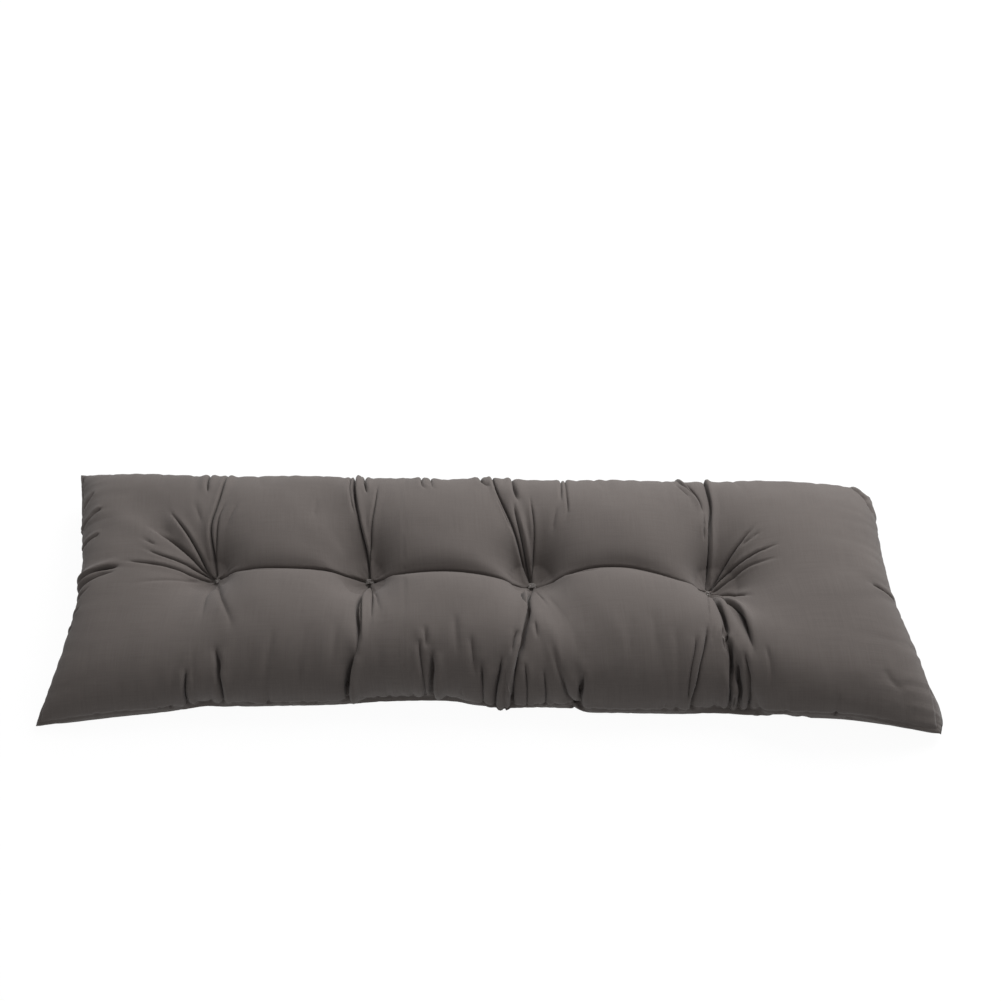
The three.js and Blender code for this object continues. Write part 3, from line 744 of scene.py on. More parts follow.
def sewn_cover(net):
    """Both panels, sewn together and puffed apart everywhere but at the seam and the ties."""
    u = (net.x / CUT_LENGTH)[:, None]
    v = (net.y / CUT_DEPTH)[None]
    loft = START_LOFT * (1 - np.abs(2 * u - 1) ** LOFT_POWER_LONG)
    loft = loft * (1 - np.abs(2 * v - 1) ** LOFT_POWER_DEEP)
    for i, j in net.ties:
        reach = np.hypot(net.x[:, None] - net.x[i], net.y[None] - net.y[j])
        loft = loft * (1 - TIE_LOFT_CUT * np.exp(-reach / TIE_LOFT_REACH))
    points = np.stack([spanned(net)] * 2).astype(np.float32)
    points[TOP, ..., 2] += loft
    points[UNDER, ..., 2] -= UNDER_LOFT_SHARE * loft
    return points


def finer(points):
    """Twice as many cells each way."""
    for axis in (1, 2):
        row = np.moveaxis(points, axis, 0)
        middle = 0.5 * (row[:-1] + row[1:])
        middle[1:-1] = (9 * (row[1:-2] + row[2:-1]) - (row[:-3] + row[3:])) / 16
        grown = np.empty((2 * len(row) - 1,) + row.shape[1:], row.dtype)
        grown[::2] = row
        grown[1::2] = middle
        points = np.moveaxis(grown, 0, axis)
    return np.ascontiguousarray(points)


# %% Fill the cover
# From the coarsest net to the finest. push is how far the filling moves loose cloth in a step, draw how
# hard the folds hold it back, and trough_wide the half width of a trough, in metres.
LEVELS = [
    {"steps": 200, "push": 0.00050, "stiffness": 0.12, "draw": 2.0, "trough_wide": 0.013},
    {"steps": 100, "push": 0.00030, "stiffness": 0.12, "draw": 3.0, "trough_wide": 0.009},
    {"steps": 70, "push": 0.00015, "stiffness": 0.12, "draw": 4.0, "trough_wide": 0.006},
    {"steps": 40, "push": 0.00007, "stiffness": 0.08, "draw": 6.0, "trough_wide": 0.0042},
]

levels = LEVELS
net = Net(0)
cloth = sewn_cover(net)
for level, choice in enumerate(levels):
    if level:
        net = Net(level)
        cloth = finer(cloth)
    cloth = settle(cloth, net, **choice)
    crown = float(cloth[TOP, ..., 2].max())
    print("level", level, "net", net.long, "by", net.deep, "crown", round(crown, 4))

# %% [markdown]
# ## Ironing three stray folds
# The real cloth is smooth on the lobes beside the first three ties, but the solver leaves a slanting
# fold on each, where its net happened to buckle. More filling there would lift the lobe too. Passing
# over the places with a soft iron is gentler: again and again each point goes to the mean height of its
# neighbours in the middle of the place, and a part of the way towards its rim.

# %% Iron the top panel
# Places in plan and reaches to each side, in millimetres.
IRON_POINTS = 9
IRON_SQUARENESS = 4
STRAY_FOLDS = (
    {"from": (-178, 22), "to": (-240, 128), "reach": 26, "passes": 220},
    {"from": (84, -30), "to": (150, -140), "reach": 26, "passes": 220},
    {"from": (-506, 130), "to": (-474, 98), "reach": 22, "passes": 160},
)


def ironed(top, places):
    """The top panel with its heights evened out along each line."""
    for place in places:
        line = np.linspace(np.array(place["from"]) * MM, np.array(place["to"]) * MM, IRON_POINTS)
        away, _, _, _ = along_line(top[..., :2].reshape(-1, 2).astype(float), line)
        share = np.exp(-(away / (place["reach"] * MM)) ** IRON_SQUARENESS)
        share = share.reshape(top.shape[:2])[1:-1, 1:-1]
        passes = place["passes"]
        for _ in range(passes):
            height = top[..., 2]
            mean = (height[:-2, 1:-1] + height[2:, 1:-1] + height[1:-1, :-2] + height[1:-1, 2:]) / 4
            top[1:-1, 1:-1, 2] += share * (mean - height[1:-1, 1:-1])
    return top


cloth[TOP] = ironed(cloth[TOP], STRAY_FOLDS)
print("ironed", len(STRAY_FOLDS), "places")

# %% [markdown]
# ## Pressing the creases sharp
# The settled cloth has the right lobes and valleys, but its net can't bend as sharply as thin cotton
# does. So the net is made finer once more, and each fold gets its crease there: threads beside it slide
# towards it, its middle sinks, and its shoulders swell, more on the side that laps over the other. A
# sculpted stroke would do the same, but a formula is the same each time and follows the table of folds.

# %% Creases
# Reaches are in half widths of the crease, plus a margin in metres where there is one.
CREASE_REACH = 4.5
CREASE_MARGIN = 0.004
SHOULDER_AWAY = 2.3
SHOULDER_MARGIN = 0.0015
SHOULDER_SHARE = 0.22
SLIDE_SHARE = 0.70
SLIDE_REACH = 2.2
SLIDE_DEPTH = 0.004
# A crease wider than this has round sides, and a narrower one comes to a point.
SOFT_WIDTH = 0.0034
ROUND_POWER = 2.0
POINTED_POWER = 1.3
END_FADE = 0.004
# No crease takes more than this share of the room between the panels.
ROOM_SHARE = 0.45
# Where a shoulder lies in another crease, it swells only past this share of that crease's depth.
SWELL_PAST = 0.5
# The main creases are pressed narrower and deeper than the table of folds gives them.
NARROWED = 0.75
DEEPENED = 1.6


def press(panel, other, out, creases, places):
    """Slides cloth towards each crease, sinks its middle and swells its shoulders, for one panel."""
    sink = np.zeros(panel.shape[:2])
    swell = np.zeros(panel.shape[:2])
    slide = np.zeros(panel.shape)
    for line, wide, depths, lap, share in creases:
        near = beside(places, line, CREASE_REACH * wide + CREASE_MARGIN)
        if len(near[0]) == 0:
            continue
        away, off, where, beyond = along_line(places[near], line)
        depth = np.interp(where, np.linspace(0, 1, len(depths)), depths)
        depth = depth * np.exp(-(beyond / END_FADE) ** 2)
        heading = line[-1] - line[0]
        left = np.sign(heading[0] * off[:, 1] - heading[1] * off[:, 0])
        shoulder = (away / (SHOULDER_AWAY * wide + SHOULDER_MARGIN)) ** 2
        sharpness = ROUND_POWER if wide > SOFT_WIDTH else POINTED_POWER
        drawn = SLIDE_SHARE * np.minimum(depth / SLIDE_DEPTH, 1)
        drawn = drawn * np.exp(-(away / (SLIDE_REACH * wide)) ** 2)
        slide[near + (0,)] -= off[:, 0] * drawn
        slide[near + (1,)] -= off[:, 1] * drawn
        sink[near] = np.maximum(sink[near], depth * np.exp(-(away / wide) ** sharpness))
        ridge = share * SHOULDER_SHARE * (1 + lap * left) * depth * shoulder * np.exp(1 - shoulder)
        swell[near] = np.maximum(swell[near], ridge)
    room = np.linalg.norm(panel - other, axis=-1) * ROOM_SHARE
    moved = np.maximum(swell - SWELL_PAST * sink, 0) - np.minimum(sink, room)
    panel += slide + out * moved[..., None]


def main_creases():
    """The creases of the table of folds: line, half width, depths, lap and share of the shoulders."""
    found = []
    for fold, line in zip(FOLDS, FOLD_LINES):
        depths = fold["deep"] * MM * tapered(fold, np.linspace(0, 1, len(line)))
        wide = fold["wide"] * MM * NARROWED
        found.append((line, wide, depths * DEEPENED, fold.get("lap", 0), fold.get("ridge", 1)))
    return found


# %% [markdown]
# ## Puckers and lumps
# Between the main folds the cover is never quite smooth. The sewing thread is shorter than the cloth,
# so short puckers stand square to the seam, and longer, softer waves run on from them. Fine folds
# ring each tie, and the fibre underneath lies in slight lumps. There are hundreds of these, all small
# and all different, so they come from a seeded list instead of a table.

# %% Fine folds round the ties
TIE_PUCKERS = 15
TIE_PUCKER_TURN = 0.25
TIE_PUCKER_START = 0.004
TIE_PUCKER_REACH = (0.016, 0.040)
TIE_PUCKER_BEND = 0.003
TIE_PUCKER_WIDE = 0.0013
TIE_PUCKER_DEPTH = (0.0008, 0.0020)
TIE_PUCKER_POINTS = 5


def tie_puckers(rng):
    """Short fine folds that run out from each tie, in plan."""
    found = []
    for x, y in tie_places:
        start = rng.uniform(0, math.tau)
        for k in range(TIE_PUCKERS):
            angle = start + math.tau * (k + rng.uniform(-TIE_PUCKER_TURN, TIE_PUCKER_TURN)) / TIE_PUCKERS
            way = np.array([math.cos(angle), math.sin(angle)])
            reach = rng.uniform(*TIE_PUCKER_REACH)
            t = np.linspace(0, 1, TIE_PUCKER_POINTS)
            bend = rng.uniform(-TIE_PUCKER_BEND, TIE_PUCKER_BEND) * t ** 2
            line = np.array([x, y]) + np.outer(TIE_PUCKER_START + t * reach, way)
            line = line + np.outer(bend, [-way[1], way[0]])
            found.append((line, TIE_PUCKER_WIDE, rng.uniform(*TIE_PUCKER_DEPTH) * (1 - t), 0, 1))
    return found


# %% Folds off the seam
# Measures of the flat cloth, in metres. slant is how far a fold may lean to the side for each metre
# inwards, and end_share how deep it is at the two ends of the cushion, against the middle.
WAVES = {
    "spacing": 0.017,
    "reaches": (0.04, 0.14),
    "wides": (0.0035, 0.0070),
    "depths": (0.0006, 0.0022),
    "slant": 0.16,
    "end_share": 0.5,
}
PUCKERS = {
    "spacing": 0.012,
    "reaches": (0.008, 0.030),
    "wides": (0.0013, 0.0026),
    "slant": 0.6,
    "end_share": 0.35,
}
# The depths of the puckers on the top panel, and on the under one.
PUCKER_DEPTHS = ((0.0004, 0.0022), (0.0002, 0.0008))
SPACING_RANGE = (0.5, 1.7)
SEAM_FOLD_POINTS = 6
SEAM_FOLD_BEND = 0.1
SEAM_FOLD_FADE = 0.7
END_QUIET = 0.22
ROLL_WIDE = 0.0045
ROLL_SHARP = 0.0013
ROLL_DEPTH = 0.0018
ROLL_POINTS = 13


def seam_folds(rng, spacing, reaches, wides, depths, slant, end_share):
    """Folds that start at the seam and run inwards, on the flat cloth; shallower at the two ends."""
    found = []
    runs = (((0, 0), (1, 0), (0, 1), CUT_LENGTH), ((0, CUT_DEPTH), (1, 0), (0, -1), CUT_LENGTH),
            ((0, 0), (0, 1), (1, 0), CUT_DEPTH), ((CUT_LENGTH, 0), (0, 1), (-1, 0), CUT_DEPTH))
    for start, along, inward, length in runs:
        place = spacing
        while place < length - spacing:
            way = np.array(inward) + rng.uniform(-slant, slant) * np.array(along)
            t = np.linspace(0, 1, SEAM_FOLD_POINTS)
            bend = rng.uniform(-SEAM_FOLD_BEND, SEAM_FOLD_BEND) * reaches[1] * t ** 2
            line = np.array(start) + np.array(along) * place + np.outer(t * rng.uniform(*reaches), way)
            line = line + np.outer(bend, along)
            from_end = min(line[0, 0], CUT_LENGTH - line[0, 0])
            share = end_share + (1 - end_share) * smooth(from_end / END_QUIET)
            depth = rng.uniform(*depths) * share * (1 - t) ** SEAM_FOLD_FADE
            found.append((line, rng.uniform(*wides), depth, rng.uniform(-1, 1), 1))
            place += spacing * rng.uniform(*SPACING_RANGE)
    return found


def seam_roll():
    """The line beside the seam where the cloth turns over the allowance inside, on the flat cloth."""
    low, high = ROLL_WIDE, np.array([CUT_LENGTH, CUT_DEPTH]) - ROLL_WIDE
    corners = np.array([(low, low), (high[0], low), (high[0], high[1]), (low, high[1]), (low, low)])
    found = []
    for first, second in zip(corners[:-1], corners[1:]):
        line = first + np.outer(np.linspace(0, 1, ROLL_POINTS), second - first)
        found.append((line, ROLL_SHARP, np.full(ROLL_POINTS, ROLL_DEPTH), 0, 1))
    return found


# %% Lumps of the filling
LUMPS = 260
LUMP_MARGIN = 0.02
LUMP_REACH = (0.016, 0.045)
LUMP_HEIGHT = 0.0011
LUMP_SPAN = 2.5
LUMP_EASE = 0.03


def lumps(rng, places):
    """Slight rises and hollows of the fibre under the cloth."""
    rise = np.zeros(places.shape[:2])
    for _ in range(LUMPS):
        middle = rng.uniform((LUMP_MARGIN, LUMP_MARGIN),
                             (CUT_LENGTH - LUMP_MARGIN, CUT_DEPTH - LUMP_MARGIN))
        reach = rng.uniform(*LUMP_REACH)
        height = rng.uniform(-LUMP_HEIGHT, LUMP_HEIGHT)
        across = np.abs(places[:, 0, 0] - middle[0]) < LUMP_SPAN * reach
        deep = np.abs(places[0, :, 1] - middle[1]) < LUMP_SPAN * reach
        patch = np.ix_(across, deep)
        away = np.linalg.norm(places[patch] - middle, axis=-1)
        rise[patch] += height * np.exp(-(away / reach) ** 2)
    return rise


# %% Press the creases
SEED = 7
rng = np.random.default_rng(SEED)
cloth = finer(cloth).astype(np.float64)
net = Net(len(levels))
flat_places = np.stack(np.meshgrid(net.x, net.y, indexing="ij"), -1).astype(np.float64)


def unit_outward():
    """The way out of the cloth at each point, one unit long."""
    out = outward(cloth, net)
    return out / np.maximum(np.linalg.norm(out, axis=-1, keepdims=True), 1e-6)


out = unit_outward()
from_seam = np.minimum(np.minimum(net.x, CUT_LENGTH - net.x)[:, None],
                       np.minimum(net.y, CUT_DEPTH - net.y)[None])
cloth += out * (lumps(rng, flat_places) * smooth(from_seam / LUMP_EASE))[None, ..., None]
waves = seam_folds(rng, **WAVES)
press(cloth[TOP], cloth[UNDER], out[TOP], waves, flat_places)
press(cloth[TOP], cloth[UNDER], unit_outward()[TOP], main_creases(), cloth[TOP, ..., :2].copy())
press(cloth[TOP], cloth[UNDER], unit_outward()[TOP], tie_puckers(rng), cloth[TOP, ..., :2].copy())
out = unit_outward()
for panel, other in ((TOP, UNDER), (UNDER, TOP)):
    puckers = seam_folds(rng, depths=PUCKER_DEPTHS[panel], **PUCKERS)
    press(cloth[panel], cloth[other], out[panel], puckers, flat_places)
    press(cloth[panel], cloth[other], out[panel], seam_roll(), flat_places)
sew(cloth)
np.maximum(cloth[..., 2], 0, out=cloth[..., 2])
print("pressed; highest point", round(float(cloth[..., 2].max()), 4))

# %% [markdown]
# ## The cover as one mesh
# The two panels become one closed mesh that shares the points of the seam. The net now has far more
# points than the smooth lobes need, so it is thinned in square blocks: where the cloth is sharply
# folded a block keeps every thread, where it bends a little every second one, and elsewhere only its
# rim. A big cell beside small ones takes their points into its own edge, so nothing gapes. Each point
# also keeps its place on the flat cloth, so the weave follows the cloth into every fold, as woven
# threads do. Unwrapping isn't needed: the panels were flat rectangles to begin with.

# %% Thin the net where it is smooth
BLOCK = 4
EVERY_THREAD_BLOCKS = 2500
SECOND_THREAD_BLOCKS = 5200
UNDER_WEIGHT = 0.4


def block_bend(panel):
    """How far the cloth inside each block strays from the plain patch between the block's corners."""
    most = 0
    corners = [[panel[i:panel.shape[0] - BLOCK + i:BLOCK, j:panel.shape[1] - BLOCK + j:BLOCK]
                for j in (0, BLOCK)] for i in (0, BLOCK)]
    for i in range(BLOCK + 1):
        for j in range(BLOCK + 1):
            u, v = i / BLOCK, j / BLOCK
            plain = ((1 - u) * (1 - v) * corners[0][0] + (1 - u) * v * corners[0][1]
                     + u * (1 - v) * corners[1][0] + u * v * corners[1][1])
            here = panel[i:panel.shape[0] - BLOCK + i:BLOCK, j:panel.shape[1] - BLOCK + j:BLOCK]
            most = np.maximum(most, np.linalg.norm(here - plain, axis=-1))
    return most


def block_steps(points):
    """The step between the threads that each block keeps: 1, 2 or the whole block."""
    bends = np.stack([block_bend(points[TOP]), block_bend(points[UNDER]) * UNDER_WEIGHT])
    order = np.argsort(-bends.ravel(), kind="stable")
    steps = np.full(bends.size, BLOCK)
    steps[order[:EVERY_THREAD_BLOCKS + SECOND_THREAD_BLOCKS]] = 2
    steps[order[:EVERY_THREAD_BLOCKS]] = 1
    return steps.reshape(bends.shape)


# %% Build the cover
def cell_corners(steps):
    """The lowest corner of each cell in its panel, and its size in threads."""
    for panel in (TOP, UNDER):
        for bi, bj in np.ndindex(steps.shape[1:]):
            step = int(steps[panel, bi, bj])
            for i in range(bi * BLOCK, (bi + 1) * BLOCK, step):
                for j in range(bj * BLOCK, (bj + 1) * BLOCK, step):
                    yield panel, i, j, step


def cover_mesh(points, net):
    """One closed mesh of both panels, with the points of the seam shared."""
    shape = points.shape[1:3]
    numbers = np.arange(2 * shape[0] * shape[1]).reshape((2,) + shape)
    for edge in EDGES:
        numbers[(UNDER,) + edge] = numbers[(TOP,) + edge]
    cells = list(cell_corners(block_steps(points)))
    used = np.zeros(numbers.size, bool)
    for panel, i, j, step in cells:
        used[numbers[panel, i:i + step + 1:step, j:j + step + 1:step]] = True
    renumbered = np.cumsum(used) - 1
    faces = []
    for panel, i, j, step in cells:
        ring = np.concatenate([numbers[panel, i:i + step, j], numbers[panel, i + step, j:j + step],
                               numbers[panel, i + step:i:-1, j + step], numbers[panel, i, j + step:j:-1]])
        ring = renumbered[ring[used[ring]]].tolist()
        faces.append(ring if panel == TOP else ring[::-1])
    mesh = bpy.data.meshes.new("cushion_cover")
    mesh.from_pydata(points.reshape(-1, 3)[used].tolist(), [], faces)
    mesh.polygons.foreach_set("use_smooth", np.ones(len(faces), bool))
    flat = np.stack(np.meshgrid(net.x, net.y, indexing="ij") + [np.zeros(shape, np.float32)], -1)
    on_cloth = np.stack([flat, flat + (0, 0, 1)]).reshape(-1, 3)[used].astype(np.float32)
    mesh.attributes.new("on_cloth", "FLOAT_VECTOR", "POINT").data.foreach_set("vector", on_cloth.ravel())
    mesh.update()
    return mesh


def add_piece(name, mesh, material):
    """A visible piece of the one body, in its material."""
    piece = bpy.data.objects.new(name, mesh)
    bpy.context.scene.collection.objects.link(piece)
    mesh.materials.append(material)
    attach(piece, "root")
    return piece


cover_cloth = cover_mesh(cloth, net)
corners = np.zeros(len(cover_cloth.polygons), int)
cover_cloth.polygons.foreach_get("loop_total", corners)
print("cover", len(cover_cloth.vertices), "points", len(corners), "faces", (corners - 2).sum(), "triangles")

# %% [markdown]
# ## Shader maths
# A material is a graph of nodes. Written as expressions it reads like the sentence that describes the
# cloth, so one small class wraps a socket: its operators add Math nodes, and one method adds any other
# node from its type, its settings and its inputs.

# %% A socket that does sums
class Value:
    """One output of a node, with the tree it belongs to."""

    def __init__(self, tree, socket):
        self.tree = tree
        self.socket = socket

    def math(self, operation, *others):
        """A Math node with this value first."""
        return node(self.tree, "ShaderNodeMath", {"operation": operation}, dict(enumerate((self, *others))))

    def __add__(self, other):
        return self.math("ADD", other)

    def __mul__(self, other):
        return self.math("MULTIPLY", other)

    __radd__ = __add__
    __rmul__ = __mul__

    def eased(self, start, end):
        """0 below start, 1 above end, and smooth between."""
        return node(self.tree, "ShaderNodeMapRange", {"interpolation_type": "SMOOTHSTEP"},
                    {"Value": self, "From Min": start, "From Max": end})


def node(tree, kind, settings=None, inputs=None, output=0):
    """Adds a node: its settings first, then the numbers or links of its sockets."""
    made = tree.nodes.new(kind)
    for name, value in (settings or {}).items():
        setattr(made, name, value)
    for name, value in (inputs or {}).items():
        if isinstance(value, Value):
            tree.links.new(value.socket, made.inputs[name])
        else:
            made.inputs[name].default_value = value
    return Value(tree, made.outputs[output])


def new_material(name):
    """A material with nothing but its output, and the tree to build it in."""
    material = bpy.data.materials.new(name)
    material.use_nodes = True
    tree = material.node_tree
    tree.nodes.clear()
    return material, tree


def finish_material(tree, **inputs):
    """The one shader of a material, joined to its output."""
    sockets = {name.replace("_", " "): value for name, value in inputs.items()}
    surface = node(tree, "ShaderNodeBsdfPrincipled", {}, sockets)
    end = tree.nodes.new("ShaderNodeOutputMaterial")
    tree.links.new(surface.socket, end.inputs["Surface"])


# %% [markdown]
# ## The cloth's weave and colour
# The cover is a plain cotton weave, dyed a warm charcoal, with no gloss. Its threads are a third of a
# millimetre apart, so close up the weave shows as bump and from afar only as a slight grain. Some
# threads are thicker than others, which gives short faint lines both ways, and the dye lies a little
# unevenly. All of it is laid out on the flat cloth.

# %% Helpers for the materials
def mix_colour(tree, factor, first, second):
    """The first colour where the factor is 0, the second where it is 1."""
    return node(tree, "ShaderNodeMix", {"data_type": "RGBA"},
                {"Factor": factor, "A": first, "B": second}, output="Result")


def noise(tree, place, scale, detail, roughness=0.5):
    """Soft patches; scale is how many of them go into a metre."""
    return node(tree, "ShaderNodeTexNoise", {},
                {"Vector": place, "Scale": scale, "Detail": detail, "Roughness": roughness}, output="Fac")


def streaks(tree, place, per_metre, detail):
    """Patches drawn out: how many go into a metre along x, y and z."""
    drawn_out = node(tree, "ShaderNodeVectorMath", {"operation": "MULTIPLY"}, {0: place, 1: per_metre})
    return noise(tree, drawn_out, 1.0, detail)


# %% Woven cotton
CLOTH_COLOUR = (0.147, 0.127, 0.117, 1.0)
CLOTH_SHADE = (0.118, 0.101, 0.094, 1.0)
# The weave repeats after two threads.
WEAVE_REPEAT = 0.0007
WEAVE_HEIGHT = 0.25
SLUB_STREAKS = ((18.0, 900.0, 1.0), (900.0, 18.0, 1.0))
SLUB_DETAIL = 2.0
SLUB_EDGES = (0.40, 0.62)
SLUB_SHARE = 0.45
DYE_PATCHES = {"scale": 9.0, "detail": 4.0, "roughness": 0.6}
DYE_EDGES = (0.35, 0.7)
DYE_SHARE = 0.35
WEAVE_BUMP = {"Strength": 0.35, "Distance": 0.0004}
COTTON_FINISH = {
    "Roughness": 0.88,
    "Specular_IOR_Level": 0.25,
    "Sheen_Weight": 0.12,
    "Sheen_Roughness": 0.6,
}


def woven_cotton():
    """The cover's cloth, laid out by each point's place on the flat panels."""
    material, tree = new_material("woven_cotton")
    place = node(tree, "ShaderNodeAttribute", {"attribute_name": "on_cloth"}, output="Vector")
    along = node(tree, "ShaderNodeSeparateXYZ", {}, {"Vector": place}, output="X")
    across = node(tree, "ShaderNodeSeparateXYZ", {}, {"Vector": place}, output="Y")
    warp = (along * (math.tau / WEAVE_REPEAT)).math("SINE")
    weft = (across * (math.tau / WEAVE_REPEAT)).math("SINE")
    slub_long, slub_deep = (streaks(tree, place, per_metre, SLUB_DETAIL) for per_metre in SLUB_STREAKS)
    slubs = (slub_long + slub_deep) * 0.5
    dye = noise(tree, place, **DYE_PATCHES)
    shade = dye.eased(*DYE_EDGES) * DYE_SHARE + slubs.eased(*SLUB_EDGES) * SLUB_SHARE
    colour = mix_colour(tree, shade, CLOTH_COLOUR, CLOTH_SHADE)
    height = warp * weft * WEAVE_HEIGHT + slubs
    bump = node(tree, "ShaderNodeBump", {}, {**WEAVE_BUMP, "Height": height})
    finish_material(tree, Base_Color=colour, Normal=bump, **COTTON_FINISH)
    return material


cover = add_piece("cushion_cover", cover_cloth, woven_cotton())
print("cover in", cover.active_material.name)

# %% [markdown]
# ## The ties
# Each tie is thick sewing thread that goes down through the cushion and back, pulled tight and knotted.
# What shows on top is small: a flat bar of three stitches side by side at the two middle ties, and a
# round knot at the two outer ones. Underneath, each tie is a bar of two or three stitches. A thread
# could be a smooth tube, but it is two plies twisted together, and that twist is what catches the light.

# %% Threads as twisted plies
PLY_RADIUS = 0.00062
PLY_SIDES = 8
TWIST_PITCH = 0.0034
# Any direction that no thread starts in.
SPARE_WAY = (0.1, 0.2, 1.0)
# The tip of a ply is round: its radius grows ring by ring, from a small one to the full one.
TIP_START = 0.35
TIP_RINGS = 2.5


def carried_side(path):
    """Two directions square to the path at each point, carried along it without spinning."""
    ahead = np.gradient(path, axis=0)
    ahead /= np.linalg.norm(ahead, axis=1, keepdims=True)
    side = np.cross(ahead[0], SPARE_WAY)
    sides = []
    for way in ahead:
        side = side - (side @ way) * way
        side = side / np.linalg.norm(side)
        sides.append(side)
    sides = np.array(sides)
    return sides, np.cross(ahead, sides)


def tube(path, radius):
    """Points and faces of a tube round a path, with rounded ends."""
    sides, ups = carried_side(path)
    ends = np.minimum(np.arange(len(path)), np.arange(len(path))[::-1])
    swell = np.sqrt(np.clip((ends + TIP_START) / TIP_RINGS, 0, 1))
    turn = np.linspace(0, math.tau, PLY_SIDES, endpoint=False)[None, :, None]
    out = np.cos(turn) * sides[:, None] + np.sin(turn) * ups[:, None]
    rings = path[:, None] + radius * swell[:, None, None] * out
    faces = []
    for i in range(len(path) - 1):
        for k in range(PLY_SIDES):
            after = (k + 1) % PLY_SIDES
            faces.append((i * PLY_SIDES + k, i * PLY_SIDES + after, (i + 1) * PLY_SIDES + after,
                          (i + 1) * PLY_SIDES + k))
    faces.append(tuple(range(PLY_SIDES))[::-1])
    faces.append(tuple((len(path) - 1) * PLY_SIDES + k for k in range(PLY_SIDES)))
    return rings.reshape(-1, 3), faces


def twisted(axis, ply_radius):
    """Two plies wound round an axis."""
    sides, ups = carried_side(axis)
    plies = []
    for phase in (0, math.pi):
        turn = (travelled_along(axis) / TWIST_PITCH * math.tau + phase)[:, None]
        plies.append(tube(axis + ply_radius * (np.cos(turn) * sides + np.sin(turn) * ups), ply_radius))
    return plies


def joined_mesh(name, pieces):
    """One mesh of all the plies."""
    points = []
    faces = []
    count = 0
    for piece_points, piece_faces in pieces:
        points += piece_points.tolist()
        faces += [tuple(count + number for number in face) for face in piece_faces]
        count += len(piece_points)
    mesh = bpy.data.meshes.new(name)
    mesh.from_pydata(points, [], faces)
    mesh.polygons.foreach_set("use_smooth", np.ones(len(faces), bool))
    mesh.update()
    return mesh


# %% Bars and knots
STITCH_POINTS = 41
STITCH_GAP = 0.0023
STITCH_SWAY = 0.0005
STITCH_SWAY_TURN = 2.2
# Every second stitch is a little shorter, and each lies a little higher than the one before.
STITCH_SHORTER = 0.06
STITCH_HIGHER = 0.12
BAR_RISE = 0.0041
# How far the ends of a stitch dive from its crown, in shares of its rise.
BAR_DIVE = 1.9
KNOT_STEPS = 96
KNOT_FORWARD = 0.0030
KNOT_RISE = 0.0022
KNOT_THICK = 1.15
KNOT_PLY_SHARE = 0.9


def stitch_bar(low, high, stitches, upward):
    """Stitches side by side across a box; both ends of each dive into the cloth."""
    middle = (low + high) / 2
    half = (high[0] - low[0]) / 2 - PLY_RADIUS
    pieces = []
    for k in range(stitches):
        t = np.linspace(-1, 1, STITCH_POINTS)
        x = half * np.sin(t * math.pi / 2) * (1 - STITCH_SHORTER * (k % 2))
        y = (k - (stitches - 1) / 2) * STITCH_GAP + STITCH_SWAY * np.sin(STITCH_SWAY_TURN * t + k)
        z = upward * BAR_RISE * (1 - BAR_DIVE * t ** 4 + STITCH_HIGHER * k)
        axis = np.stack([x, y, z], -1) + (middle[0], middle[1], low[2] if upward > 0 else high[2])
        pieces += twisted(axis, PLY_RADIUS)
    return pieces


def round_knot(low, high, size, upward):
    """An overhand knot pulled into a bead, and one short stitch under it."""
    middle = (low + high) / 2
    t = np.linspace(0, math.tau, KNOT_STEPS + 1)[:-1]
    x = np.sin(t) + 2 * np.sin(2 * t)
    y = np.cos(t) - 2 * np.cos(2 * t)
    loop = np.stack([x, y, -KNOT_THICK * np.sin(3 * t)], -1)
    foot = low[2] if upward > 0 else high[2]
    place = (middle[0], middle[1] - KNOT_FORWARD, foot + upward * KNOT_RISE)
    bead = twisted(loop * size / 3 + place, PLY_RADIUS * KNOT_PLY_SHARE)
    return bead + stitch_bar(low, high, 1, upward)


TIE_FORMS = (
    {"form": "knot", "size": 0.0021},
    {"form": "bar", "stitches": 3},
    {"form": "bar", "stitches": 3},
    {"form": "knot", "size": 0.0034},
)


# %% Sewing thread
# The thread's two colours are mixed by the same fibres that give its bump. The paler one is a painted
# highlight on the raised fibres, and the darker one is painted shade in the hollows. Random patches mix
# them too.
THREAD_HIGHLIGHT_AND_PALE = (0.44, 0.41, 0.39, 1.0)
THREAD_SHADE_AND_DARK = (0.22, 0.20, 0.19, 1.0)
FIBRES = {"per_metre": (2600.0, 5200.0, 5200.0), "detail": 3.0}
FIBRE_PAINTED_LIGHT_EDGES = (0.35, 0.7)
FIBRE_PAINTED_LIGHT_SHARE = 0.6
PATCHES = {"scale": 260.0, "detail": 2.0}
PATCH_EDGES = (0.4, 0.65)
PATCH_SHARE = 0.4
THREAD_BUMP = {"Strength": 0.5, "Distance": 0.0002}
THREAD_FINISH = {"Roughness": 0.55, "Specular_IOR_Level": 0.4}


def sewing_thread():
    """Painted highlight on the raised fibres, painted shade in the hollows between them, and random paler
    and darker patches.
    """
    material, tree = new_material("sewing_thread")
    place = node(tree, "ShaderNodeTexCoord", {}, output="Object")
    fibres = streaks(tree, place, **FIBRES)
    patches = noise(tree, place, **PATCHES)
    # Painted highlight on the raised fibres and painted shade in the hollows between them, with random
    # patches of paler and darker thread.
    fibre_light_and_patches = fibres.eased(*FIBRE_PAINTED_LIGHT_EDGES) * FIBRE_PAINTED_LIGHT_SHARE + patches.eased(*PATCH_EDGES) * PATCH_SHARE
    colour = mix_colour(tree, fibre_light_and_patches, THREAD_SHADE_AND_DARK, THREAD_HIGHLIGHT_AND_PALE)
    bump = node(tree, "ShaderNodeBump", {}, {**THREAD_BUMP, "Height": fibres})
    finish_material(tree, Base_Color=colour, Normal=bump, **THREAD_FINISH)
    return material


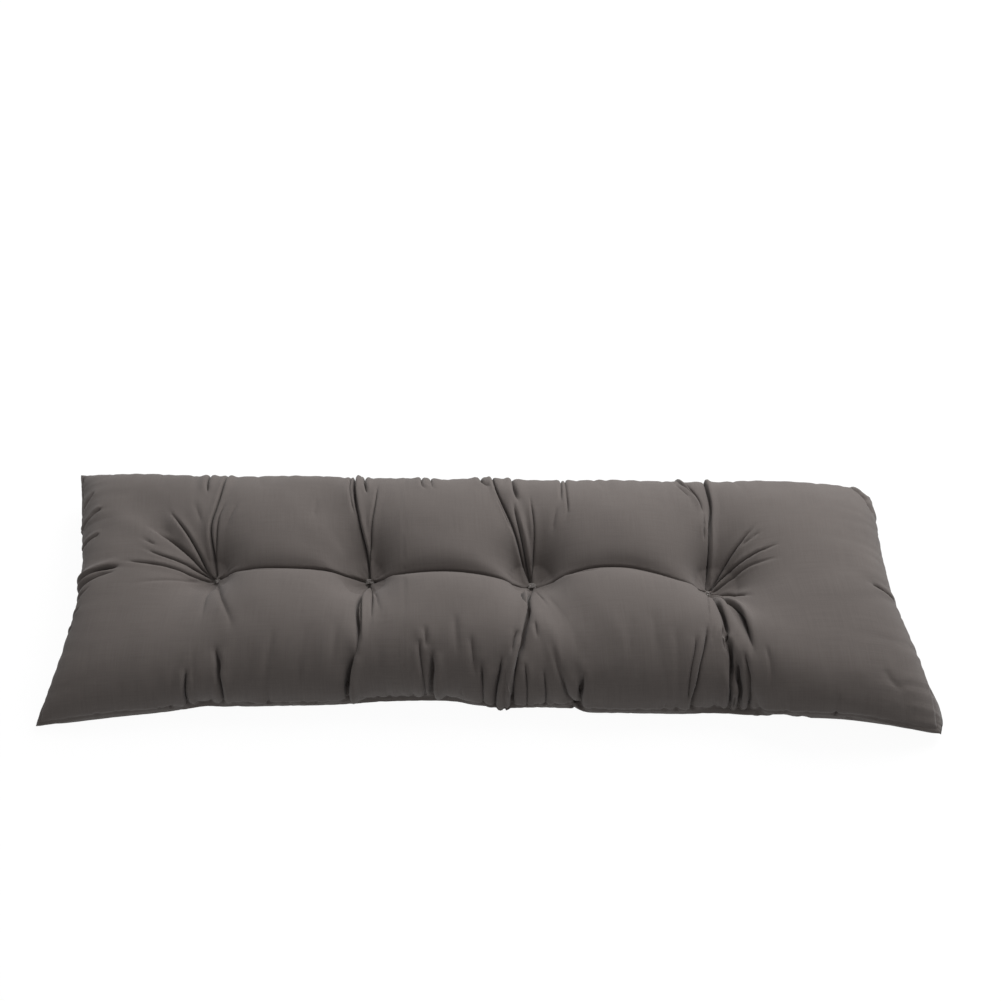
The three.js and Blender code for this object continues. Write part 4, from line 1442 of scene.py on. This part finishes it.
# %% Build the ties
LEAST_STITCHES = 2
thread = sewing_thread()
ties = []
for number, form in enumerate(TIE_FORMS, 1):
    for side, upward in (("top", 1), ("under", -1)):
        node_name = f"tie_{side}_{number}"
        low, high = (np.array(corner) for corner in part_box(node_name))
        if form["form"] == "knot" and side == "top":
            pieces = round_knot(low, high, form["size"], upward)
        else:
            pieces = stitch_bar(low, high, form.get("stitches", LEAST_STITCHES), upward)
        tie = add_piece(f"thread_{side}_{number}", joined_mesh(f"thread_{side}_{number}", pieces), thread)
        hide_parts(node_name)
        ties.append(tie)
print(len(ties), "ties,", sum(len(tie.data.polygons) for tie in ties), "faces in all")

# %% [markdown]
# ## Floor and light
# The photograph has a bare white ground and soft light from above and behind, so the tops of the lobes
# are light and the side towards the camera is darker. One large lamp, high up behind the cushion, gives
# that, and the pale surroundings fill the shade. A white floor in that light would carry a grey shadow
# that the photograph doesn't have, so the floor is dark and glows almost white by itself.

# %% Floor
FLOOR_HALF = 6.0
FLOOR_DROP = 0.0005
FLOOR_GREYS = ((0.07, 0.07, 0.07, 1.0), (0.075, 0.075, 0.075, 1.0))
FLOOR_PATCHES = {"scale": 3.0, "detail": 3.0}
FLOOR_FINISH = {"Roughness": 0.9, "Specular_IOR_Level": 0.2}
FLOOR_GLOW = {"Emission_Color": (1.0, 1.0, 1.0, 1.0), "Emission_Strength": 0.95}


def square_mesh(name, half):
    """A flat square round the origin."""
    corners = [(-half, -half, 0), (half, -half, 0), (half, half, 0), (-half, half, 0)]
    mesh = bpy.data.meshes.new(name)
    mesh.from_pydata(corners, [], [(0, 1, 2, 3)])
    return mesh


def floor_paint():
    """A grey with its own white glow."""
    material, tree = new_material("floor_paint")
    place = node(tree, "ShaderNodeTexCoord", {}, output="Object")
    colour = mix_colour(tree, noise(tree, place, **FLOOR_PATCHES), *FLOOR_GREYS)
    finish_material(tree, Base_Color=colour, **FLOOR_FINISH, **FLOOR_GLOW)
    return material


floor = bpy.data.objects.new("floor", square_mesh("floor", FLOOR_HALF))
bpy.context.scene.collection.objects.link(floor)
floor.location.z = -FLOOR_DROP
floor.data.materials.append(floor_paint())
floor.visible_diffuse = False
print("floor", 2 * FLOOR_HALF, "m square")

# %% Lamp and surroundings
LAMP_PLACE = Vector((1.10, 1.85, 1.85))
LAMP_AIM = Vector((0, 0, 0.05))
LAMP_SIZE = 2.2
LAMP_WATTS = 87.0
SURROUNDINGS_LIGHT = 0.34
lamp_data = bpy.data.lights.new("overhead_lamp", "AREA")
lamp_data.shape = "SQUARE"
lamp_data.size = LAMP_SIZE
lamp_data.energy = LAMP_WATTS
lamp = bpy.data.objects.new("overhead_lamp", lamp_data)
lamp.location = LAMP_PLACE
lamp.rotation_euler = (LAMP_AIM - LAMP_PLACE).to_track_quat("-Z", "Y").to_euler()
bpy.context.scene.collection.objects.link(lamp)

surroundings = bpy.data.worlds.new("pale_room")
surroundings.use_nodes = True
background = surroundings.node_tree.nodes["Background"]
background.inputs["Color"].default_value = (1.0, 1.0, 1.0, 1.0)
background.inputs["Strength"].default_value = SURROUNDINGS_LIGHT
bpy.context.scene.world = surroundings
bpy.context.scene.view_settings.view_transform = "Standard"
print("lamp", LAMP_WATTS, "watts,", round((LAMP_PLACE - LAMP_AIM).length, 2), "m from the cushion")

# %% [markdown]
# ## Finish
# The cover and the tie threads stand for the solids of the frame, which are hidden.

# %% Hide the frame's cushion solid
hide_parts("cushion")
